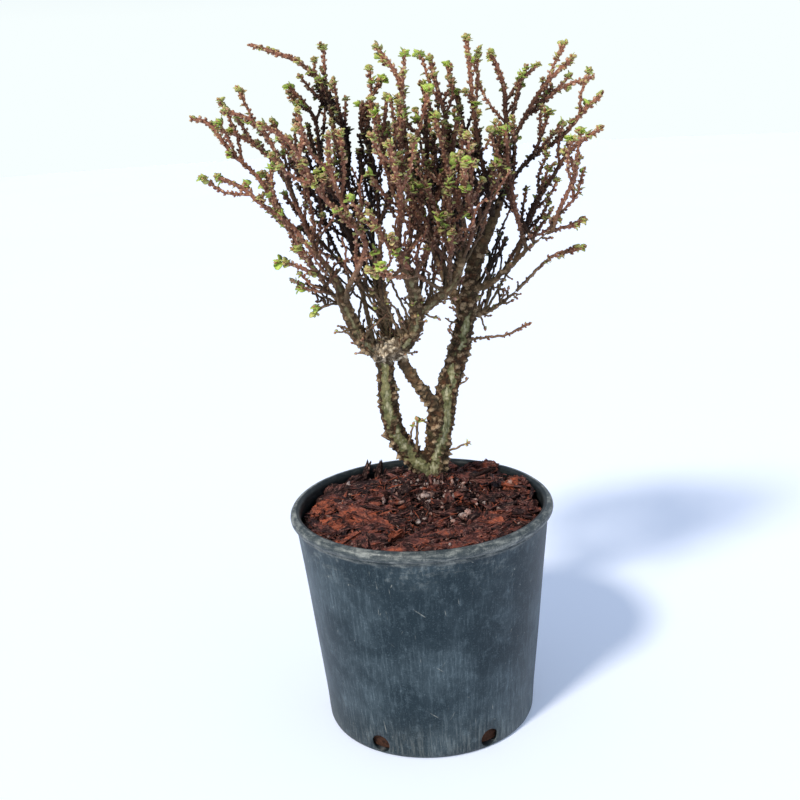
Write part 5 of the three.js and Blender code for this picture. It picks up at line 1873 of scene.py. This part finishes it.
class BONSAI_OT_soil(bpy.types.Operator):
    """Give the potting mix its finish and lay the bed of mulch on it"""

    bl_idname = "bonsai.soil"
    bl_label = "Potting mix and mulch bed"

    def execute(self, context):
        plug = bpy.data.objects["potting_mix"]
        plug.data.materials.clear()
        plug.data.materials.append(finish_named("potting_soil").material)
        mulch = [finish_named("bark_mulch_fibrous")]
        make_piece("mulch_bed", mulch_bed_shape(), mulch, ["bark_mulch"])
        return {"FINISHED"}


class BONSAI_OT_chips(bpy.types.Operator):
    """Lay the large chips, the shreds, the crumbs and the fibres"""

    bl_idname = "bonsai.chips"
    bl_label = "Bark chips"

    def execute(self, context):
        sizes = context.scene.bonsai_sizes
        mulch = [finish_named("bark_mulch_fibrous")]
        make_piece("bark_chips", chip_shape(), mulch, smooth=False)
        make_piece("bark_shreds", shred_shape(sizes.shred_count), mulch, smooth=False)
        make_piece("bark_crumbs", crumb_shape(sizes.crumb_count), mulch, smooth=False)
        make_piece("bark_fibres", fibre_shape(sizes.fibre_count), mulch)
        return {"FINISHED"}


class BONSAI_OT_grains(bpy.types.Operator):
    """Strew pale mineral grains over the mulch"""

    bl_idname = "bonsai.grains"
    bl_label = "Pale grains"

    def execute(self, context):
        count = context.scene.bonsai_sizes.grain_count
        make_piece("pale_grains", grain_shape(count), [finish_named("pale_grains")])
        return {"FINISHED"}


class BONSAI_OT_wood(bpy.types.Operator):
    """Fuse the trunks and limbs and cover them with cork"""

    bl_idname = "bonsai.wood"
    bl_label = "Corky wood"

    def execute(self, context):
        piece = wood_piece(the_tree(), [finish_named("corky_bark")])
        if len(piece.data.vertices) < 10000:
            raise RuntimeError("the wood was lost in the remesh")
        return {"FINISHED"}


class BONSAI_OT_sprouts(bpy.types.Operator):
    """Grow little shoots and stubs on the trunks and the limbs"""

    bl_idname = "bonsai.sprouts"
    bl_label = "Trunk sprouts"

    def execute(self, context):
        spur_count = context.scene.bonsai_sizes.limb_spur_count
        sprig = Sprig(900, the_tree())
        for radius, leafy, route in SPROUTS:
            stem = sprig.stem(Curve(route), radius, 0.7 * radius, (0.0, 0.5))
            sprig.clothe(stem, (0.0, 0.4), 0.45, 0.25)
            if leafy:
                sprig.rosette(stem, 3, 2, 2.6, 0.5)
        for number, (dead, route) in enumerate(limb_spurs(sprig.tree, spur_count)):
            stem = sprig.stem(Curve(route), 0.55, 0.36, (0.0, 0.1 if dead else 0.5))
            sprig.clothe(stem, (0.0, 0.1 if dead else 0.45), 0.5 if dead else 0.9, 0.3)
            if not dead:
                sprig.rosette(stem, 2 * (number % 3 == 0), 1, 2.0, 0.3)
        make_piece("trunk_sprouts", sprig.shape(), crown_finishes())
        return {"FINISHED"}


class BONSAI_OT_sprays(bpy.types.Operator):
    """Grow every spray with its stems, buds, spurs and leaves, and the thin twigs between the sprays"""

    bl_idname = "bonsai.sprays"
    bl_label = "Sprays"

    def execute(self, context):
        tree = the_tree()
        forks = side_shoots(tree)
        inner = inner_twigs(tree)
        for number, spray in enumerate(tree.names[1:], 1):
            if spray not in bpy.data.objects:
                raise RuntimeError(f"the packed model has no {spray}")
            sprig = Sprig(100 + number, tree)
            for shoot in tree.shoots:
                if shoot.spray == spray:
                    sprig.grow(shoot, (0.7, 1.0) if shoot.twig else (0.15, 1.0))
            for fork in forks:
                if fork.spray == spray:
                    sprig.grow(fork, (0.45, 1.0))
            make_piece("fine_" + spray, sprig.shape(), crown_finishes(), [spray])
        sprig = Sprig(99, tree)
        for curve in inner:
            stem = sprig.stem(curve, 0.62, 0.4, (0.0, 0.5))
            sprig.clothe(stem, (0.0, 0.7), 0.5, 0.3)
            sprig.rosette(stem, 2, 2, 2.4, 0.2)
        for curve in front_twigs(tree):
            stem = sprig.stem(curve, 0.55, 0.38, (0.1, 0.9))
            sprig.clothe(stem, (0.1, 1.0), 0.55, 0.15)
        make_piece("inner_twigs", sprig.shape(), crown_finishes())
        return {"FINISHED"}


class BONSAI_OT_stage(bpy.types.Operator):
    """Set up the floor, the lights, the pale surroundings and the camera"""

    bl_idname = "bonsai.stage"
    bl_label = "Stage"

    def execute(self, context):
        stage = context.scene.bonsai_stage
        make_floor(stage)
        make_sun(stage)
        make_fill(stage)
        make_surroundings(stage)
        make_camera()
        context.scene.view_settings.view_transform = "Standard"
        return {"FINISHED"}


def make_floor(stage):
    """A plain round floor of 96 sides, 4 m in radius, just under the object, that glows a pale blue: painted
    light that lightens the shadows on it.
    """
    sides, radius, level = 96, 4, -0.0002
    angle = np.arange(sides) * FULL_TURN / sides
    ring = np.stack([radius * np.cos(angle), radius * np.sin(angle), np.full(sides, level)], axis=1)
    mesh = bpy.data.meshes.new("floor")
    mesh.from_pydata(ring.tolist(), [], [list(range(sides))])
    finish = Finish("pale_floor", roughness=0.9, specular=0.1, Emission_Strength=stage.painted_floor_glow,
                    Emission_Color=(0.62, 0.76, 1.0, 1.0))
    wide = finish.noise(3, 2)
    finish.colour(finish.mix(wide, [0.97 * part for part in stage.floor], stage.floor))
    mesh.materials.append(finish.material)
    floor = linked("floor", mesh)


def seated(thing, right, up, back, place):
    """Puts an object at a place with its three axes along the given directions."""
    rows = [[right[k], up[k], back[k], place[k]] for k in range(3)]
    thing.matrix_world = Matrix(rows + [[0, 0, 0, 1]])


def make_light(name, kind, power, colour):
    """A light that still has to be placed."""
    data = bpy.data.lights.new(name, kind)
    data.energy = power
    data.color = colour
    return linked(name, data)


def make_sun(stage):
    """Soft direct light from the front left and above."""
    sun = make_light("key_light", "SUN", stage.key_power, (1.0, 0.95, 0.87))
    sun.data.angle = math.radians(9)
    sun.rotation_euler = (math.radians(46), 0, math.radians(-38))


def make_fill(stage):
    """A square area light at the right that faces the middle of the object."""
    fill = make_light("fill_light", "AREA", stage.fill_power, (0.9, 0.95, 1.0))
    fill.data.size = 0.9
    place, target = np.array([0.9, -0.7, 0.5]), np.array([0.0, 0.0, 0.14])
    back = unit(place - target)
    side = unit(np.cross(WORLD_Z, back))
    seated(fill, side, np.cross(back, side), back, place)


def make_surroundings(stage):
    """A world that is nearly white at the horizon and a softer blue overhead."""
    world = bpy.data.worlds.new("pale_surroundings")
    world.use_nodes = True
    graph = Graph(world.node_tree)
    background = graph.tree.nodes["Background"]
    background.inputs["Strength"].default_value = stage.sky_strength
    height = graph.part(graph.node("ShaderNodeTexCoord", {}, {}, "Generated"), 2)
    stops = ((0.06, (0.93, 1.0, 1.0, 1)), (0.4, (0.38, 0.47, 0.64, 1)))
    graph.feed(background.inputs["Color"], graph.node("ShaderNodeValToRGB", {"stops": stops}, {0: height}))
    bpy.context.scene.world = world


def make_camera():
    """The photograph's camera: 50 mm lens, 16.2 degrees down, rolled by 3.3 degrees."""
    pitch, roll = math.radians(16.2), math.radians(3.3)
    back = np.array([0, -math.cos(pitch), math.sin(pitch)])
    upright = np.array([0, math.sin(pitch), math.cos(pitch)])
    across = np.array([1.0, 0, 0])
    data = bpy.data.cameras.new("photo_camera")
    data.lens = 50
    data.sensor_width = 36
    data.clip_start = 0.01
    camera = linked("photo_camera", data)
    right, up = (math.cos(roll) * across - math.sin(roll) * upright,
                 math.sin(roll) * across + math.cos(roll) * upright)
    seated(camera, right, up, back, (-0.0066, -0.4501, 0.2744))
    bpy.context.scene.camera = camera


STEPS = (BONSAI_OT_stage, BONSAI_OT_pot, BONSAI_OT_soil, BONSAI_OT_chips, BONSAI_OT_grains, BONSAI_OT_wood,
         BONSAI_OT_sprays, BONSAI_OT_sprouts)


class BONSAI_PT_panel(bpy.types.Panel):
    """Lists the steps and the sizes and colours that they use"""

    bl_idname = "BONSAI_PT_panel"
    bl_label = "Cork Bark Elm Bonsai"
    bl_space_type = "VIEW_3D"
    bl_region_type = "UI"
    bl_category = "Bonsai"

    def draw(self, context):
        for step in STEPS:
            self.layout.operator(step.bl_idname)
        scene = context.scene
        for group in (scene.bonsai_sizes, scene.bonsai_colours, scene.bonsai_stage):
            box = self.layout.box()
            for key in group.__annotations__:
                box.prop(group, key)


GROUPS = {"bonsai_sizes": BonsaiSizes, "bonsai_colours": BonsaiColours, "bonsai_stage": BonsaiStage}
CLASSES = tuple(GROUPS.values()) + STEPS + (BONSAI_PT_panel,)


def register():
    for cls in CLASSES:
        bpy.utils.register_class(cls)
    for key, cls in GROUPS.items():
        setattr(bpy.types.Scene, key, bpy.props.PointerProperty(type=cls))


def unregister():
    for key in GROUPS:
        delattr(bpy.types.Scene, key)
    for cls in reversed(CLASSES):
        bpy.utils.unregister_class(cls)


def main():
    """Registers the add-on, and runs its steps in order."""
    register()
    bpy.ops.bonsai.stage()
    bpy.ops.bonsai.pot()
    bpy.ops.bonsai.soil()
    bpy.ops.bonsai.chips()
    bpy.ops.bonsai.grains()
    bpy.ops.bonsai.wood()
    bpy.ops.bonsai.sprays()
    bpy.ops.bonsai.sprouts()


if __name__ == "__main__":
    main()
